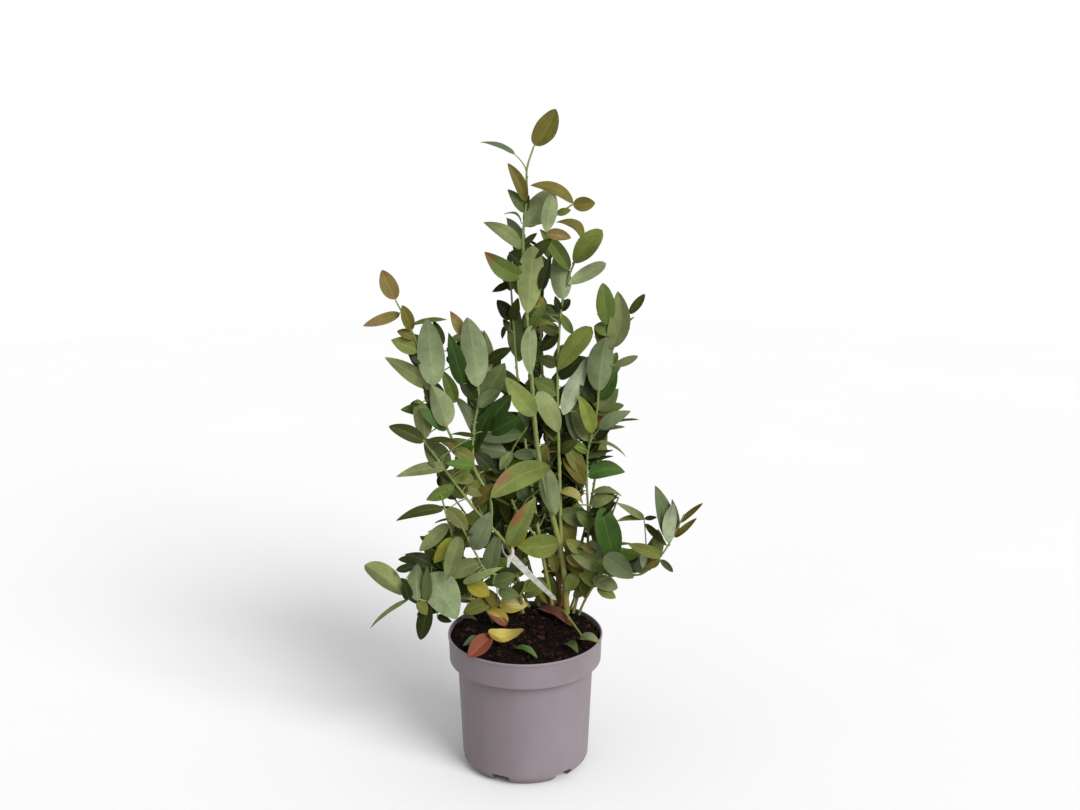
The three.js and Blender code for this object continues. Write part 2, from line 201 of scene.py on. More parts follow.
# Leaves that stand out in the photograph, by limb: pixels of the foot and of the tip, the blade's width in
# pixels, its tone, and the word under where that side shows. More may follow: edge, how far the leaf is
# turned edge-on in degrees; arch and fold; bow, its bend to the right as seen; lean, how far the tip lies
# behind the foot as a share of the length; nearer, how far it stands in front of its limb in metres; peak,
# the share of the length where the blade is widest; patch.
SEEN_LEAVES = {
    "tall_cane": """
        535 145 556 109 23 olive bow=.06; 515 154 481 141 13 slate edge=66 arch=.06;
        525 201 508 163 13 olive bow=.06 nearer=.004; 524 213 508 189 12 shade; 525 212 529 195 6 dark;
        519 223 504 214 7 slate edge=72 arch=.3; 521 249 484 222 15 sage bow=.1; 526 246 537 233 7 dark;
        531 257 552 238 13 dark; 524 264 509 252 9 deep; 520 277 485 252 20 green patch=red_tip bow=-.08;
        528 313 533 245 27 soft under nearer=.022 peak=.54 lean=-.04 fold=.1; 541 291 551 254 12 deep;
        530 375 531 325 17 pale under nearer=.02 peak=.56 lean=-.04 fold=.1; 529 330 546 303 10 green;
        531 330 555 325 11 moss edge=50 arch=.24; 537 415 505 377 21 fresh nearer=.022;
        559 543 517 546 25 mid bow=-.04 nearer=.014;
        558 514 547 467 21 pale under bow=-.08 nearer=.016 peak=.52 fold=.12; 533 330 524 318 9 dark""",
    "upper_bough": """
        574 202 531 184 17 olive edge=45 arch=.18; 573 205 595 203 15 olive;
        526 228 551 189 23 pale under fold=.1 edge=4;
        546 232 553 192 16 pale under nearer=.016 peak=.5 lean=0; 556 213 571 210 8 moss;
        546 234 571 238 13 ochre patch=pink_spots""",
    "right_fork": """
        585 240 556 222 16 olive edge=50 arch=.26; 573 263 602 230 22 mid nearer=.014 peak=.55;
        569 285 606 263 15 pale under nearer=.01 peak=.56;
        563 300 556 249 21 celadon under nearer=.016 fold=.12; 568 269 540 229 16 green nearer=.005;
        561 313 555 296 8 deep; 562 311 570 299 10 deep; 556 313 546 304 8 dark; 561 315 573 334 10 green;
        557 332 537 321 14 dark; 557 330 541 351 14 deep; 557 364 539 357 13 dark;
        558 371 592 327 22 mid nearer=.01 peak=.6; 560 379 583 356 13 deep; 558 394 534 378 19 green;
        558 408 536 396 18 shade; 560 433 538 392 21 soft nearer=.012 peak=.6;
        562 491 583 504 12 yellow edge=35 arch=.25; 560 512 600 521 19 shade; 559 452 578 440 12 dark""",
    "thin_cane": """
        508 284 492 292 8 deep; 510 319 497 300 15 deep; 511 321 518 298 11 dark; 512 333 503 319 9 dark;
        505 326 502 339 5 deep; 518 358 518 308 16 shade; 518 392 492 366 20 dark;
        526 441 500 409 19 pine; 526 430 521 405 12 slate; 551 580 524 598 17 mid nearer=-.006;
        548 603 530 578 14 olive nearer=-.012; 553 600 546 570 13 green nearer=-.016;
        539 581 518 590 12 mid nearer=-.01; 556 572 549 546 11 moss nearer=-.006;
        559 604 551 574 11 umber nearer=-.014""",
    "left_tip_bough": """
        396 298 382 270 18 ochre patch=red_tip bow=-.06; 398 315 363 326 12 ochre patch=rose_tip;
        411 331 402 305 13 olive; 413 325 447 320 12 green edge=65 arch=.06; 416 338 397 331 11 olive;
        418 351 391 340 18 mid; 422 362 407 352 12 deep; 432 388 385 357 18 soft under bow=.01;
        434 386 427 317 28 celadon under nearer=.02 fold=.14 bow=.03; 443 345 433 320 9 dark;
        446 427 431 385 24 pale under nearer=.03; 425 439 417 399 19 sage under nearer=.01;
        447 430 419 409 16 emerald nearer=.004; 422 402 410 404 6 deep;
        455 403 443 371 14 green nearer=-.01; 436 404 424 382 14 dark nearer=-.01""",
    "left_bough": """
        476 387 467 317 27 celadon under nearer=.024 peak=.45 fold=.1 lean=-.04;
        464 336 450 311 12 ochre patch=red_tip; 464 386 449 333 18 pine; 486 373 484 330 15 soft under;
        488 362 512 348 12 deep; 475 434 455 397 12 grey under bow=.07;
        480 408 501 390 16 slate under nearer=.012; 477 406 505 363 24 shade;
        485 426 511 395 20 pine nearer=-.004; 490 433 521 417 17 pine;
        473 458 456 438 15 green nearer=-.008; 492 470 474 452 16 deep nearer=-.012;
        491 497 550 466 26 fresh under nearer=.03 bow=-.05 patch=red_foot peak=.54;
        474 400 460 375 14 deep; 478 442 493 408 18 pine nearer=-.01;
        474 452 486 424 13 dark nearer=-.014; 473 440 462 462 13 emerald nearer=-.004""",
    "tagged_cane": """
        424 442 389 426 16 dark; 447 466 396 477 13 sage edge=12 nearer=.01 peak=.34;
        449 468 424 438 24 shade; 460 449 436 438 10 umber nearer=-.006; 475 437 451 434 8 dark edge=55;
        426 441 457 442 12 dark edge=60; 475 466 446 463 11 apple nearer=.008; 452 488 426 500 14 green;
        466 497 440 471 20 dark; 447 508 468 530 16 moss;
        508 546 536 497 20 fresh nearer=.014 patch=red_side; 512 544 527 531 14 gold nearer=.018;
        474 504 494 484 15 umber nearer=-.01; 474 463 447 446 15 moss nearer=-.01;
        474 480 444 472 15 moss; 486 492 458 482 17 moss nearer=-.006;
        470 470 440 484 15 green nearer=-.012""",
    "mid_left_bough": """
        521 433 478 439 16 slate edge=8 nearer=.004; 480 447 507 453 20 grey under nearer=.008;
        512 452 500 470 11 soft nearer=.01; 516 456 541 453 12 slate; 505 470 486 462 16 deep;
        508 480 528 462 15 deep""",
    "far_left_cane": """
        443 509 396 521 12 dark edge=15 arch=.04 bow=.05; 448 524 419 551 15 sage edge=15 arch=-.15;
        453 538 434 563 14 citron nearer=.01; 460 536 446 580 17 sage nearer=.014;
        455 530 478 532 14 dark""",
    "low_front_bough": """
        471 549 490 512 23 grey nearer=.01; 487 578 499 532 18 slate; 480 562 440 576 19 sage;
        467 583 490 595 18 gold nearer=.012; 463 583 503 567 9 soft nearer=.014; 492 584 515 575 16 shade;
        498 590 520 596 14 shade; 505 570 528 560 15 shade; 499 606 482 587 13 umber;
        511 597 524 581 11 dark nearer=-.006""",
    "low_left_cane": """
        403 596 365 564 23 soft under peak=.55 bow=.07; 415 566 396 570 9 deep; 433 565 405 554 14 deep;
        417 603 417 563 17 grey under nearer=.01; 425 605 427 566 11 shade; 408 603 404 579 11 deep;
        408 602 369 627 9 sage edge=60;
        457 619 431 573 36 celadon under nearer=.034 fold=.16 lean=0 peak=.6; 428 605 420 641 16 deep;
        437 616 452 622 8 deep; 491 602 463 613 16 moss nearer=.014; 416 605 427 615 12 moss""",
    "right_bough": """
        607 325 603 283 20 green; 614 349 618 291 22 sage bow=.12 nearer=.01; 629 314 645 294 9 dark;
        618 334 594 326 15 green; 599 392 606 336 28 grey under nearer=.024 peak=.46;
        563 415 588 356 18 mint under nearer=.014; 614 366 638 356 9 sage;
        604 352 594 327 12 umber nearer=-.006; 600 399 617 371 17 emerald;
        598 401 580 379 17 deep nearer=-.01; 602 411 618 389 16 sage;
        597 414 624 405 12 green nearer=-.006""",
    "right_cane": """
        590 431 579 395 16 bright nearer=.014; 586 440 572 397 15 sage;
        577 440 564 404 14 grey nearer=-.004; 599 428 631 411 14 grey nearer=.01;
        598 431 625 427 7 sage edge=55; 604 424 639 419 8 dark edge=70; 597 441 611 427 9 deep;
        588 443 626 456 11 sage edge=70 arch=.14; 588 458 613 450 10 slate edge=58;
        590 463 613 455 7 dark edge=65; 588 476 625 472 18 emerald arch=.08 bow=-.1;
        586 453 570 442 10 lime; 566 444 586 476 17 moss; 584 484 563 458 15 umber""",
    "mid_right_bough": """
        590 494 622 495 13 sage edge=60 arch=.16; 592 503 614 497 13 sage; 590 515 616 502 14 deep;
        600 506 615 560 28 emerald fold=.3 nearer=.012; 594 525 577 512 15 green""",
    "low_right_bough": """
        604 556 634 578 24 slate nearer=.03; 592 579 618 588 16 soft nearer=.03;
        597 588 616 598 12 mid nearer=.02; 583 577 586 600 13 moss; 580 566 566 556 10 ochre nearer=.01;
        577 573 566 592 15 mid nearer=.008; 600 569 570 552 17 sage nearer=.006;
        596 560 612 575 15 green nearer=.01; 604 566 590 540 15 grey under nearer=.006;
        600 584 578 574 15 mid nearer=.008; 590 583 573 597 13 moss; 584 570 566 566 13 umber;
        582 552 566 540 14 mid; 598 548 580 546 12 olive nearer=-.006; 590 590 598 575 10 moss;
        573 558 565 520 15 olive nearer=-.006; 590 553 567 541 13 shade nearer=-.004;
        569 548 574 508 13 moss nearer=-.014""",
    "low_right_cane": """
        644 518 616 502 9 sage edge=30; 647 519 617 520 8 moss edge=45; 645 518 657 517 5 dark;
        646 524 667 546 8 dark; 645 551 643 569 8 mint under nearer=.012 lean=0; 670 541 656 486 18 slate;
        677 538 672 499 9 shade; 667 542 674 503 14 mint under nearer=.02 edge=8;
        676 538 697 518 7 umber patch=brown_tip; 680 523 703 503 6 umber patch=brown_tip;
        663 557 629 544 13 moss; 661 560 646 569 8 umber; 662 561 673 572 7 dark""",
}

# Side shoots that stand out in the photograph, as pixels from the limb to the shoot's end.
SHOOTS = {
    "low_right_cane": [[(645, 570), (646, 545), (644, 519)]],
    "mid_right_bough": [[(592, 503), (580, 507)]],
}

# Where dark leaves fill the bush behind the ones that stand out, darker for painted shade: limb, left, top,
# right, bottom in pixels, how many.
THICKETS = rows_of("""
    low_right_bough 562 548 602 590 9; mid_right_bough 562 508 606 530 7;
    low_front_bough 492 556 556 584 11; low_front_bough 455 556 490 590 6; tagged_cane 426 440 478 496 12;
    tagged_cane 478 470 530 530 9; mid_left_bough 474 436 540 500 11; left_bough 444 345 500 430 7;
    back_left_cane 430 436 510 500 10; back_left_cane 470 370 520 440 7; brown_cane 528 300 572 440 14;
    brown_cane 530 440 590 520 9; brown_cane 520 500 562 580 9; back_right_cane 566 380 604 520 12;
    back_right_cane 590 350 618 430 5; low_back_right_cane 562 520 606 590 9;
    low_back_left_cane 470 500 530 560 8; right_cane 566 440 600 500 6; left_bough 428 330 500 440 16;
    tagged_cane 420 430 480 500 10; far_left_cane 424 500 480 580 8; left_tip_bough 400 330 450 430 10;
    low_left_cane 396 556 440 586 4; tall_cane 512 290 560 450 30; mid_left_bough 460 380 520 470 8
""")

# Sky that shows round and through the bush: left, top, right, bottom in pixels.
SKY = rows_of("""
    300 60 476 262; 402 262 478 298; 300 262 372 312; 452 298 490 308; 582 60 760 192; 614 190 760 280;
    598 194 612 222; 612 270 760 288; 578 290 596 322; 650 288 760 412; 640 310 660 400; 642 425 760 478;
    630 430 650 480; 708 478 760 640; 684 560 760 640; 640 580 760 640; 622 590 660 640; 677 478 708 501;
    600 604 640 612; 300 312 358 560; 358 332 384 352; 358 368 386 560; 386 448 416 458; 388 482 424 490;
    388 495 424 502; 386 526 418 548; 300 560 360 700; 360 584 384 606; 384 612 416 660; 451 404 463 420;
    456 415 469 433; 466 496 472 505; 455 501 464 508; 507 357 515 373; 520 362 527 381; 511 403 517 412;
    540 435 546 443; 530 559 539 577; 532 150 600 176; 480 160 506 188; 480 192 510 211; 558 201 570 207;
    585 212 614 228; 573 212 600 217; 564 240 575 250; 569 250 574 260; 526 229 531 234; 480 234 494 250;
    488 238 500 256; 500 245 509 255; 480 280 492 300; 500 290 507 297; 476 296 496 330; 492 322 502 347;
    502 338 510 346; 545 289 556 298; 570 290 580 312; 543 331 549 336; 542 346 556 351; 541 369 556 373;
    563 375 570 380; 585 342 594 352; 505 362 516 373; 438 323 449 330; 445 364 452 376; 452 373 460 380;
    456 386 462 395; 386 382 418 398; 428 429 434 436; 437 430 444 436; 447 447 454 451; 452 404 458 430;
    404 444 418 456; 398 480 432 486; 450 500 460 508; 458 503 470 511; 463 548 471 557; 475 548 482 555;
    404 575 409 579; 575 529 584 534; 568 591 573 597; 590 590 600 604; 614 294 618 306; 622 340 640 354;
    620 372 640 405; 632 400 650 416; 611 430 640 440; 627 440 650 470; 626 458 650 500; 604 479 640 486;
    622 487 652 508; 620 521 643 541; 648 500 658 516; 684 530 710 560; 636 573 684 600; 618 582 640 600;
    578 538 592 546; 588 479 598 492; 400 522 424 530; 410 530 419 541; 610 453 624 460; 620 480 652 500;
    668 546 684 562; 414 400 416 402; 462 496 473 504; 606 425 612 426; 424 512 441 521; 414 524 428 529;
    400 545 424 551; 570 262 578 278; 561 333 569 341; 618 508 634 516; 583 496 592 510
""")
BARE_PEAT = (482, 597, 616, 690)  # where the photograph shows peat and fallen leaves

# Fallen leaves: pixels of the foot and of the tip, the heights of both, width in metres, fold, arch, how far
# the upper side leans to the right and to the front, first colour, second colour, where along the blade it
# turns from one to the other, and how far that line slants.
FALLEN = rows_of("""
    curled 468 657 493 633 .1985 .215 .03 .6 .04 .3 .9 132 66 46 142 84 58 .74 .12;
    yellow 488 632 524 629 .224 .224 .021 .25 -.44 0 .9 150 124 56 190 172 84 .2 .3;
    speckled 507 625 485 607 .1985 .224 .021 .4 .1 .1 1.5 124 66 48 176 156 64 .34 -.45;
    straw 499 604 528 605 .213 .2125 .026 .2 .14 0 2.2 172 156 62 198 184 112 .25 .6;
    rusty 538 608 572 626 .1985 .2 .02 .35 .08 0 .35 104 58 44 120 76 62 .5 .4;
    greenish 485 640 463 646 .1985 .2 .016 .3 .14 0 .35 66 86 50 92 104 66 .5 0;
    small_green 515 648 537 657 .1985 .2 .012 .35 .12 0 .35 66 96 40 92 120 56 .5 .4;
    low_green 566 643 578 652 .1985 .2 .016 .25 .12 0 .35 62 78 36 82 98 46 .5 0;
    twig_leaf 580 638 600 643 .1985 .204 .018 .35 .14 -.2 .35 106 120 78 140 150 102 .4 .5;
    amber 534 600 558 603 .2085 .207 .011 .35 .1 0 1 150 150 52 168 160 70 .5 0;
    scrap 462 619 477 620 .1985 .201 .012 .45 .2 0 .35 84 88 68 100 104 82 .5 0
""")

# ------------------------------------------------------------------------------------------- materials

SURFACE_SHARE = 0.50  # what a surface sends back in the studio's light, to its own colour
FLOOR_SHARE = 0.55


def linear(tone, factor=1, share=SURFACE_SHARE):
    """The linear base colour of a surface that shows as an 8-bit sRGB colour times a factor."""
    level = np.minimum(255, np.array(tone) * factor) / 255
    curved = np.where(level <= 0.04045, level / 12.92, ((level + 0.055) / 1.055) ** 2.4)
    return (*(share * curved).tolist(), 1)


class Shader:
    """A material under construction. Each method adds a node and gives the output that holds its result."""

    def __init__(self, name):
        self.material = bpy.data.materials.new(name)
        self.material.use_nodes = True
        self.tree = self.material.node_tree
        self.place = self.node("TexCoord", {}, "Object")

    def feed(self, socket, value):
        """Links an input to another node's output, or sets it to a value."""
        if isinstance(value, bpy.types.NodeSocket):
            self.tree.links.new(value, socket)
        else:
            socket.default_value = value

    def node(self, kind, inputs, output=0, **settings):
        node = self.tree.nodes.new(f"ShaderNode{kind}")
        for name, value in settings.items():
            setattr(node, name, value)
        for name, value in inputs.items():
            self.feed(node.inputs[name], value)
        return node.outputs[output]

    def maths(self, operation, *values):
        return self.node("Math", dict(enumerate(values)), operation=operation)

    def noise(self, scale, detail, roughness=0.55, stretch=(1, 1, 1)):
        place = self.node("Mapping", {"Scale": stretch, "Vector": self.place})
        inputs = {"Scale": scale, "Detail": detail, "Roughness": roughness, "Vector": place}
        return self.node("TexNoise", inputs, "Fac")

    def axis(self, place, number):
        return self.node("SeparateXYZ", {0: place}, number)

    def ramp(self, value, *stops):
        """A colour from three stops, each a position and a colour."""
        result = self.node("ValToRGB", {"Fac": value}, "Color")
        elements = result.node.color_ramp.elements
        elements.new(0.5)
        for element, (position, colour) in zip(elements, stops):
            element.position = position
            element.color = colour
        return result

    def span(self, value, low, high, to_low=0.0, to_high=1.0):
        inputs = {"Value": value, "From Min": low, "From Max": high, "To Min": to_low, "To Max": to_high}
        return self.node("MapRange", inputs, "Result")

    def mix(self, share, first, second):
        return self.node("Mix", {0: share, 6: first, 7: second}, 2, data_type="RGBA")

    def tint(self, colour, value, low, high, most, tone, factor=1):
        """A colour with up to a given share of a tone mixed in, where a value rises from low to high."""
        return self.mix(self.span(value, low, high, 0, most), colour, linear(tone, factor))

    def bump(self, height, distance, strength, **under):
        inputs = {"Strength": strength, "Distance": distance, "Height": height, **under}
        return self.node("Bump", inputs, "Normal")

    def finish(self, colour, roughness, specular, normal=None):
        surface = self.tree.nodes["Principled BSDF"].inputs
        self.feed(surface["Base Color"], colour)
        self.feed(surface["Roughness"], roughness)
        self.feed(surface["Specular IOR Level"], specular)
        if normal:
            self.feed(surface["Normal"], normal)
        return self.material


VEIN_PAIRS = 6


def blade_veins(shader):
    """A place's share along a leaf and across it (-1 to 1), and of its midrib and side veins."""
    blade = shader.node("UVMap", {}, uv_map="blade")
    along, across = shader.axis(blade, 0), shader.axis(blade, 1)
    off = shader.maths("ABSOLUTE", across)
    slanted = shader.maths("SUBTRACT", along, shader.maths("MULTIPLY", off, 0.30))
    phase = shader.maths("FRACT", shader.maths("MULTIPLY", slanted, VEIN_PAIRS + 1))
    off_vein = shader.maths("ABSOLUTE", shader.maths("SUBTRACT", phase, 0.5))
    fading = shader.span(off, 0.1, 0.95, 1, 0.25)
    side = shader.maths("MULTIPLY", shader.span(off_vein, 0, 0.10, 1, 0), fading)
    return along, across, shader.span(off, 0.035, 0.09, 1, 0), side


def vein_share(shader, midrib, side, midrib_share, side_share):
    return shader.maths("MAXIMUM", shader.maths("MULTIPLY", midrib, midrib_share),
                        shader.maths("MULTIPLY", side, side_share))


def patch_share(shader, along, across, cloud, patch):
    """How much of an autumn patch's colour a place of the leaf has, with a soft and uneven edge."""
    squares = []
    for value, middle, half in ((along, patch[0], patch[2]), (across, patch[1], patch[3])):
        off = shader.maths("DIVIDE", shader.maths("SUBTRACT", value, middle), half)
        squares.append(shader.maths("MULTIPLY", off, off))
    off = shader.maths("SQRT", shader.maths("ADD", *squares))
    uneven = shader.maths("ADD", off, shader.span(cloud, 0.3, 0.7, -0.35, 0.35))
    return shader.span(uneven, 0.40, 1.20, 0.85, 0)


PALE_VEIN = np.array((200, 202, 140))
SPECK = (78, 62, 36)


def leaf_material(name, tone, upper, patch):
    """A leaf's surface: mottled and specked, with paler veins; sleek above and matt below."""
    shader = Shader(f"leaf_{name}")
    broad, cloud, fine = shader.noise(30, 3), shader.noise(130, 3), shader.noise(520, 3)
    colour = shader.ramp(broad, (0.26, linear(tone, 0.84)), (0.50, linear(tone)), (0.76, linear(tone, 1.14)))
    colour = shader.tint(colour, cloud, 0.50, 0.72, 0.45, tone, 0.80)
    colour = shader.tint(colour, fine, 0.54, 0.74, 0.40, tone, 0.85)
    along, across, midrib, side = blade_veins(shader)
    if patch:
        colour = shader.mix(patch_share(shader, along, across, cloud, patch[1]), colour, linear(patch[0]))
    shares = (0.42, 0.16) if upper else (0.55, 0.26)
    colour = shader.mix(vein_share(shader, midrib, side, *shares), colour,
                        linear(np.array(tone) * 0.70 + PALE_VEIN * 0.30))
    colour = shader.tint(colour, shader.noise(240, 2), 0.71, 0.75, 0.75, SPECK)
    relief = shader.maths("ADD", shader.maths("MULTIPLY", side, -0.6), shader.maths("MULTIPLY", fine, 0.5))
    low, high, specular = (0.42, 0.58, 0.08) if upper else (0.66, 0.80, 0.03)
    return shader.finish(colour, shader.span(broad, 0.3, 0.7, low, high), specular,
                         shader.bump(relief, 0.0004, 0.5))


surfaces = {}


def leaf_surface(tone, side, patch):
    """The material of one side of a leaf, made the first time that a leaf needs it."""
    key = "_".join(part for part in (side, tone, patch) if part)
    if key not in surfaces:
        surfaces[key] = leaf_material(key, TONES[tone][0], side == UP, PATCHES.get(patch))
    return surfaces[key]


def fallen_material(name, first, second, turn_at, slant):
    """A dead leaf that turns from one colour to another, with blotches and veins."""
    shader = Shader(name)
    along, across, midrib, side = blade_veins(shader)
    turned_by = shader.maths("SUBTRACT", along, shader.maths("MULTIPLY", across, slant))
    turned_by = shader.maths("ADD", turned_by, shader.span(shader.noise(110, 4), 0.3, 0.7, -0.12, 0.12))
    colour = shader.mix(shader.span(turned_by, turn_at - 0.07, turn_at + 0.07), linear(first), linear(second))
    colour = shader.tint(colour, shader.noise(260, 3), 0.60, 0.72, 0.6, first, 0.6)
    colour = shader.mix(vein_share(shader, midrib, side, 0.5, 0.25), colour, linear(second, 1.15))
    normal = shader.bump(shader.maths("MULTIPLY", side, -1), 0.0005, 0.6)
    return shader.finish(colour, 0.6, 0.2, normal)


def bark_material(name, low, high, cracks):
    """Bark that turns from one colour to another with height, with long streaks and cracks."""
    shader = Shader(name)
    streaks = shader.noise(900, 5, 0.6, (1, 1, 0.12))
    patches = shader.noise(60, 3, stretch=(1, 1, 0.4))
    height = shader.span(shader.axis(shader.place, Z), GROUND, 0.42)
    rise = shader.maths("ADD", height, shader.span(patches, 0.3, 0.7, -0.25, 0.25))
    colour = shader.mix(shader.span(rise, 0, 1), linear(low), linear(high))
    colour = shader.tint(colour, streaks, 0.5, 0.75, cracks, low, 0.55)
    colour = shader.tint(colour, shader.noise(1100, 2), 0.66, 0.72, 0.5, high, 1.25)
    normal = shader.bump(streaks, 0.0006, 0.35 + 0.5 * cracks)
    return shader.finish(colour, shader.span(patches, 0.3, 0.7, 0.48, 0.66), 0.35, normal)


def pot_material():
    """Taupe moulded plastic: a soft sheen, faint clouding, fine grain, streaks and specks of dust."""
    shader = Shader("pot_plastic")
    clouds = shader.noise(9, 4, stretch=(1, 1, 0.5))
    streaks = shader.noise(120, 4, stretch=(1, 1, 0.06))
    colour = shader.ramp(clouds, (0.30, linear((138, 125, 130))), (0.55, linear((148, 136, 142))),
                         (0.75, linear((155, 145, 150))))
    colour = shader.tint(colour, streaks, 0.55, 0.8, 0.16, (128, 112, 114))
    colour = shader.tint(colour, shader.noise(260, 2), 0.70, 0.76, 0.5, (104, 88, 84))
    normal = shader.bump(shader.noise(900, 3), 0.00015, 0.5, Normal=shader.bump(clouds, 0.002, 0.25))
    rough, dull = shader.span(clouds, 0.3, 0.7, 0.42, 0.52), shader.span(streaks, 0.4, 0.8, 0, 0.12)
    return shader.finish(colour, shader.maths("ADD", rough, dull), 0.25, normal)


def peat_material(name, dark, light):
    shader = Shader(name)
    lumps, crumbs = shader.noise(90, 6, 0.7), shader.noise(700, 5, 0.7)
    colour = shader.mix(shader.span(lumps, 0.35, 0.75), linear(dark), linear(light))
    colour = shader.tint(colour, crumbs, 0.58, 0.75, 0.6, light, 1.5)
    normal = shader.bump(crumbs, 0.0012, 0.9, Normal=shader.bump(lumps, 0.003, 0.6))
    return shader.finish(colour, shader.span(crumbs, 0.3, 0.7, 0.78, 0.96), 0.05, normal)


def label_material():
    shader = Shader("label_plastic")
    painted_shade_patches = shader.noise(160, 4)
    # Patches of the label's grey as it looks in shade are mixed into its white: painted shade. The same
    # patches vary the roughness.
    colour = shader.mix(shader.span(painted_shade_patches, 0.45, 0.75), linear((214, 211, 203)), linear((176, 170, 158)))
    return shader.finish(colour, shader.span(painted_shade_patches, 0.3, 0.7, 0.36, 0.5), 0.45,
                         shader.bump(shader.noise(900, 2), 0.0001, 0.4))


def floor_material():
    shader = Shader("floor_pale")
    tones = [linear((level,) * 3, share=FLOOR_SHARE) for level in (250, 254)]
    return shader.finish(shader.mix(shader.noise(2, 2), *tones), 0.8, 0.1)


# ------------------------------------------------------------------------------------------- mesh helpers


class Batch:
    """Vertices, faces and leaf coordinates of many small shapes that become one mesh."""

    def __init__(self):
        self.points, self.faces, self.slots, self.blade = [], [], [], []
        self.count = 0

    def add(self, points, faces, slots=0, blade=None):
        self.points.append(points)
        self.faces.append(faces + self.count)
        self.slots.append(np.broadcast_to(slots, len(faces)))
        self.blade.append(np.zeros((len(points), 2)) if blade is None else blade)
        self.count += len(points)

    def build(self, name, materials, sharp=50):
        faces = np.concatenate(self.faces)
        mesh = bpy.data.meshes.new(name)
        mesh.from_pydata(np.concatenate(self.points).tolist(), [], faces.tolist())
        for material in materials:
            mesh.materials.append(material)
        mesh.polygons.foreach_set("material_index", np.concatenate(self.slots).astype(np.int32))
        layer = mesh.uv_layers.new(name="blade")
        layer.data.foreach_set("uv", np.concatenate(self.blade)[faces.ravel()].astype(np.float32).ravel())
        mesh.shade_smooth()
        mesh.set_sharp_from_angle(angle=math.radians(sharp))
        return add_object(name, mesh)


def unit(vector):
    return vector / np.linalg.norm(vector)


def square_to(vector, axis):
    """The part of a vector that is square to a unit axis, as a unit vector."""
    rest = vector - (vector @ axis) * axis
    return unit(rest if np.linalg.norm(rest) > 1e-6 else np.cross(axis, (0.3, 0.5, 0.8)))


def around(axis, turn):
    """A unit vector square to an axis, turned about it."""
    first = square_to(np.array((1.0, 0.0, 0.0)), axis)
    return first * math.cos(turn) + np.cross(axis, first) * math.sin(turn)


def bent(start, bend, end, t):
    """Points at shares of a curve that sets out from its start towards a bend and comes to its end."""
    t = np.asarray(t)[..., None]
    return start * (1 - t) ** 2 + bend * 2 * t * (1 - t) + end * t**2


def ring_angles(count):
    return np.arange(count) * 2 * math.pi / count


def grid_faces(rows, columns, wrap=True):
    """Quads between neighbouring rows of points, closed round each row where wrap is set."""
    row, column = np.meshgrid(np.arange(rows - 1), np.arange(columns if wrap else columns - 1), indexing="ij")
    here = row * columns + column
    beside = row * columns + (column + 1) % columns
    return np.stack([here, beside, beside + columns, here + columns], -1).reshape(-1, 4)


def tube(path, radii, sides=6):
    """A closed tube along a path of points, with an even number of sides and a short cap at each end."""
    tangents = np.gradient(path, axis=0)
    tangents /= np.linalg.norm(tangents, axis=1, keepdims=True)
    across = square_to(np.array((0.0, 1, 0.2)), tangents[0])
    angles = ring_angles(sides)
    rings = []
    for centre, tangent, radius in zip(path, tangents, radii):
        across = square_to(across, tangent)
        beside = np.cross(tangent, across)
        rings.append(centre + radius * (np.outer(np.cos(angles), across) + np.outer(np.sin(angles), beside)))
    narrow = 0.05
    first = path[0] + narrow * (rings[0] - path[0]) - tangents[0] * radii[0] * 0.3
    last = path[-1] + narrow * (rings[-1] - path[-1]) + tangents[-1] * radii[-1] * 0.5
    points = np.concatenate([first, *rings, last])
    ends = np.arange(sides)
    caps = [(ring[0], *ring[i:i + 3]) for ring in (ends[::-1], ends + len(points) - sides)
            for i in range(1, sides - 1, 2)]
    return points, np.concatenate([grid_faces(len(rings) + 2, sides), caps])


def close_holes(piece):
    """Closes the open ends and pinholes of a piece."""
    work = bmesh.new()
    work.from_mesh(piece.data)
    bmesh.ops.holes_fill(work, edges=[edge for edge in work.edges if edge.is_boundary], sides=0)
    bmesh.ops.recalc_face_normals(work, faces=work.faces)
    work.to_mesh(piece.data)
    work.free()
    return piece


# ------------------------------------------------------------------------------------------- limbs

NEAREST_SHARES = np.linspace(0.02, 1, 160)
GOLDEN_ANGLE = math.radians(137.5)
LIMB_STEP = 0.0035  # along a limb, between rings of its mesh
JOINT_SPACING = 0.017
SWELLING = 0.13  # at a leaf joint, as a share of the radius
FLARE, FLARE_REACH = 0.22, 0.016  # at a cane's foot
ROUGH_STRETCH = np.array((420, 420, 60))
limbs = {}


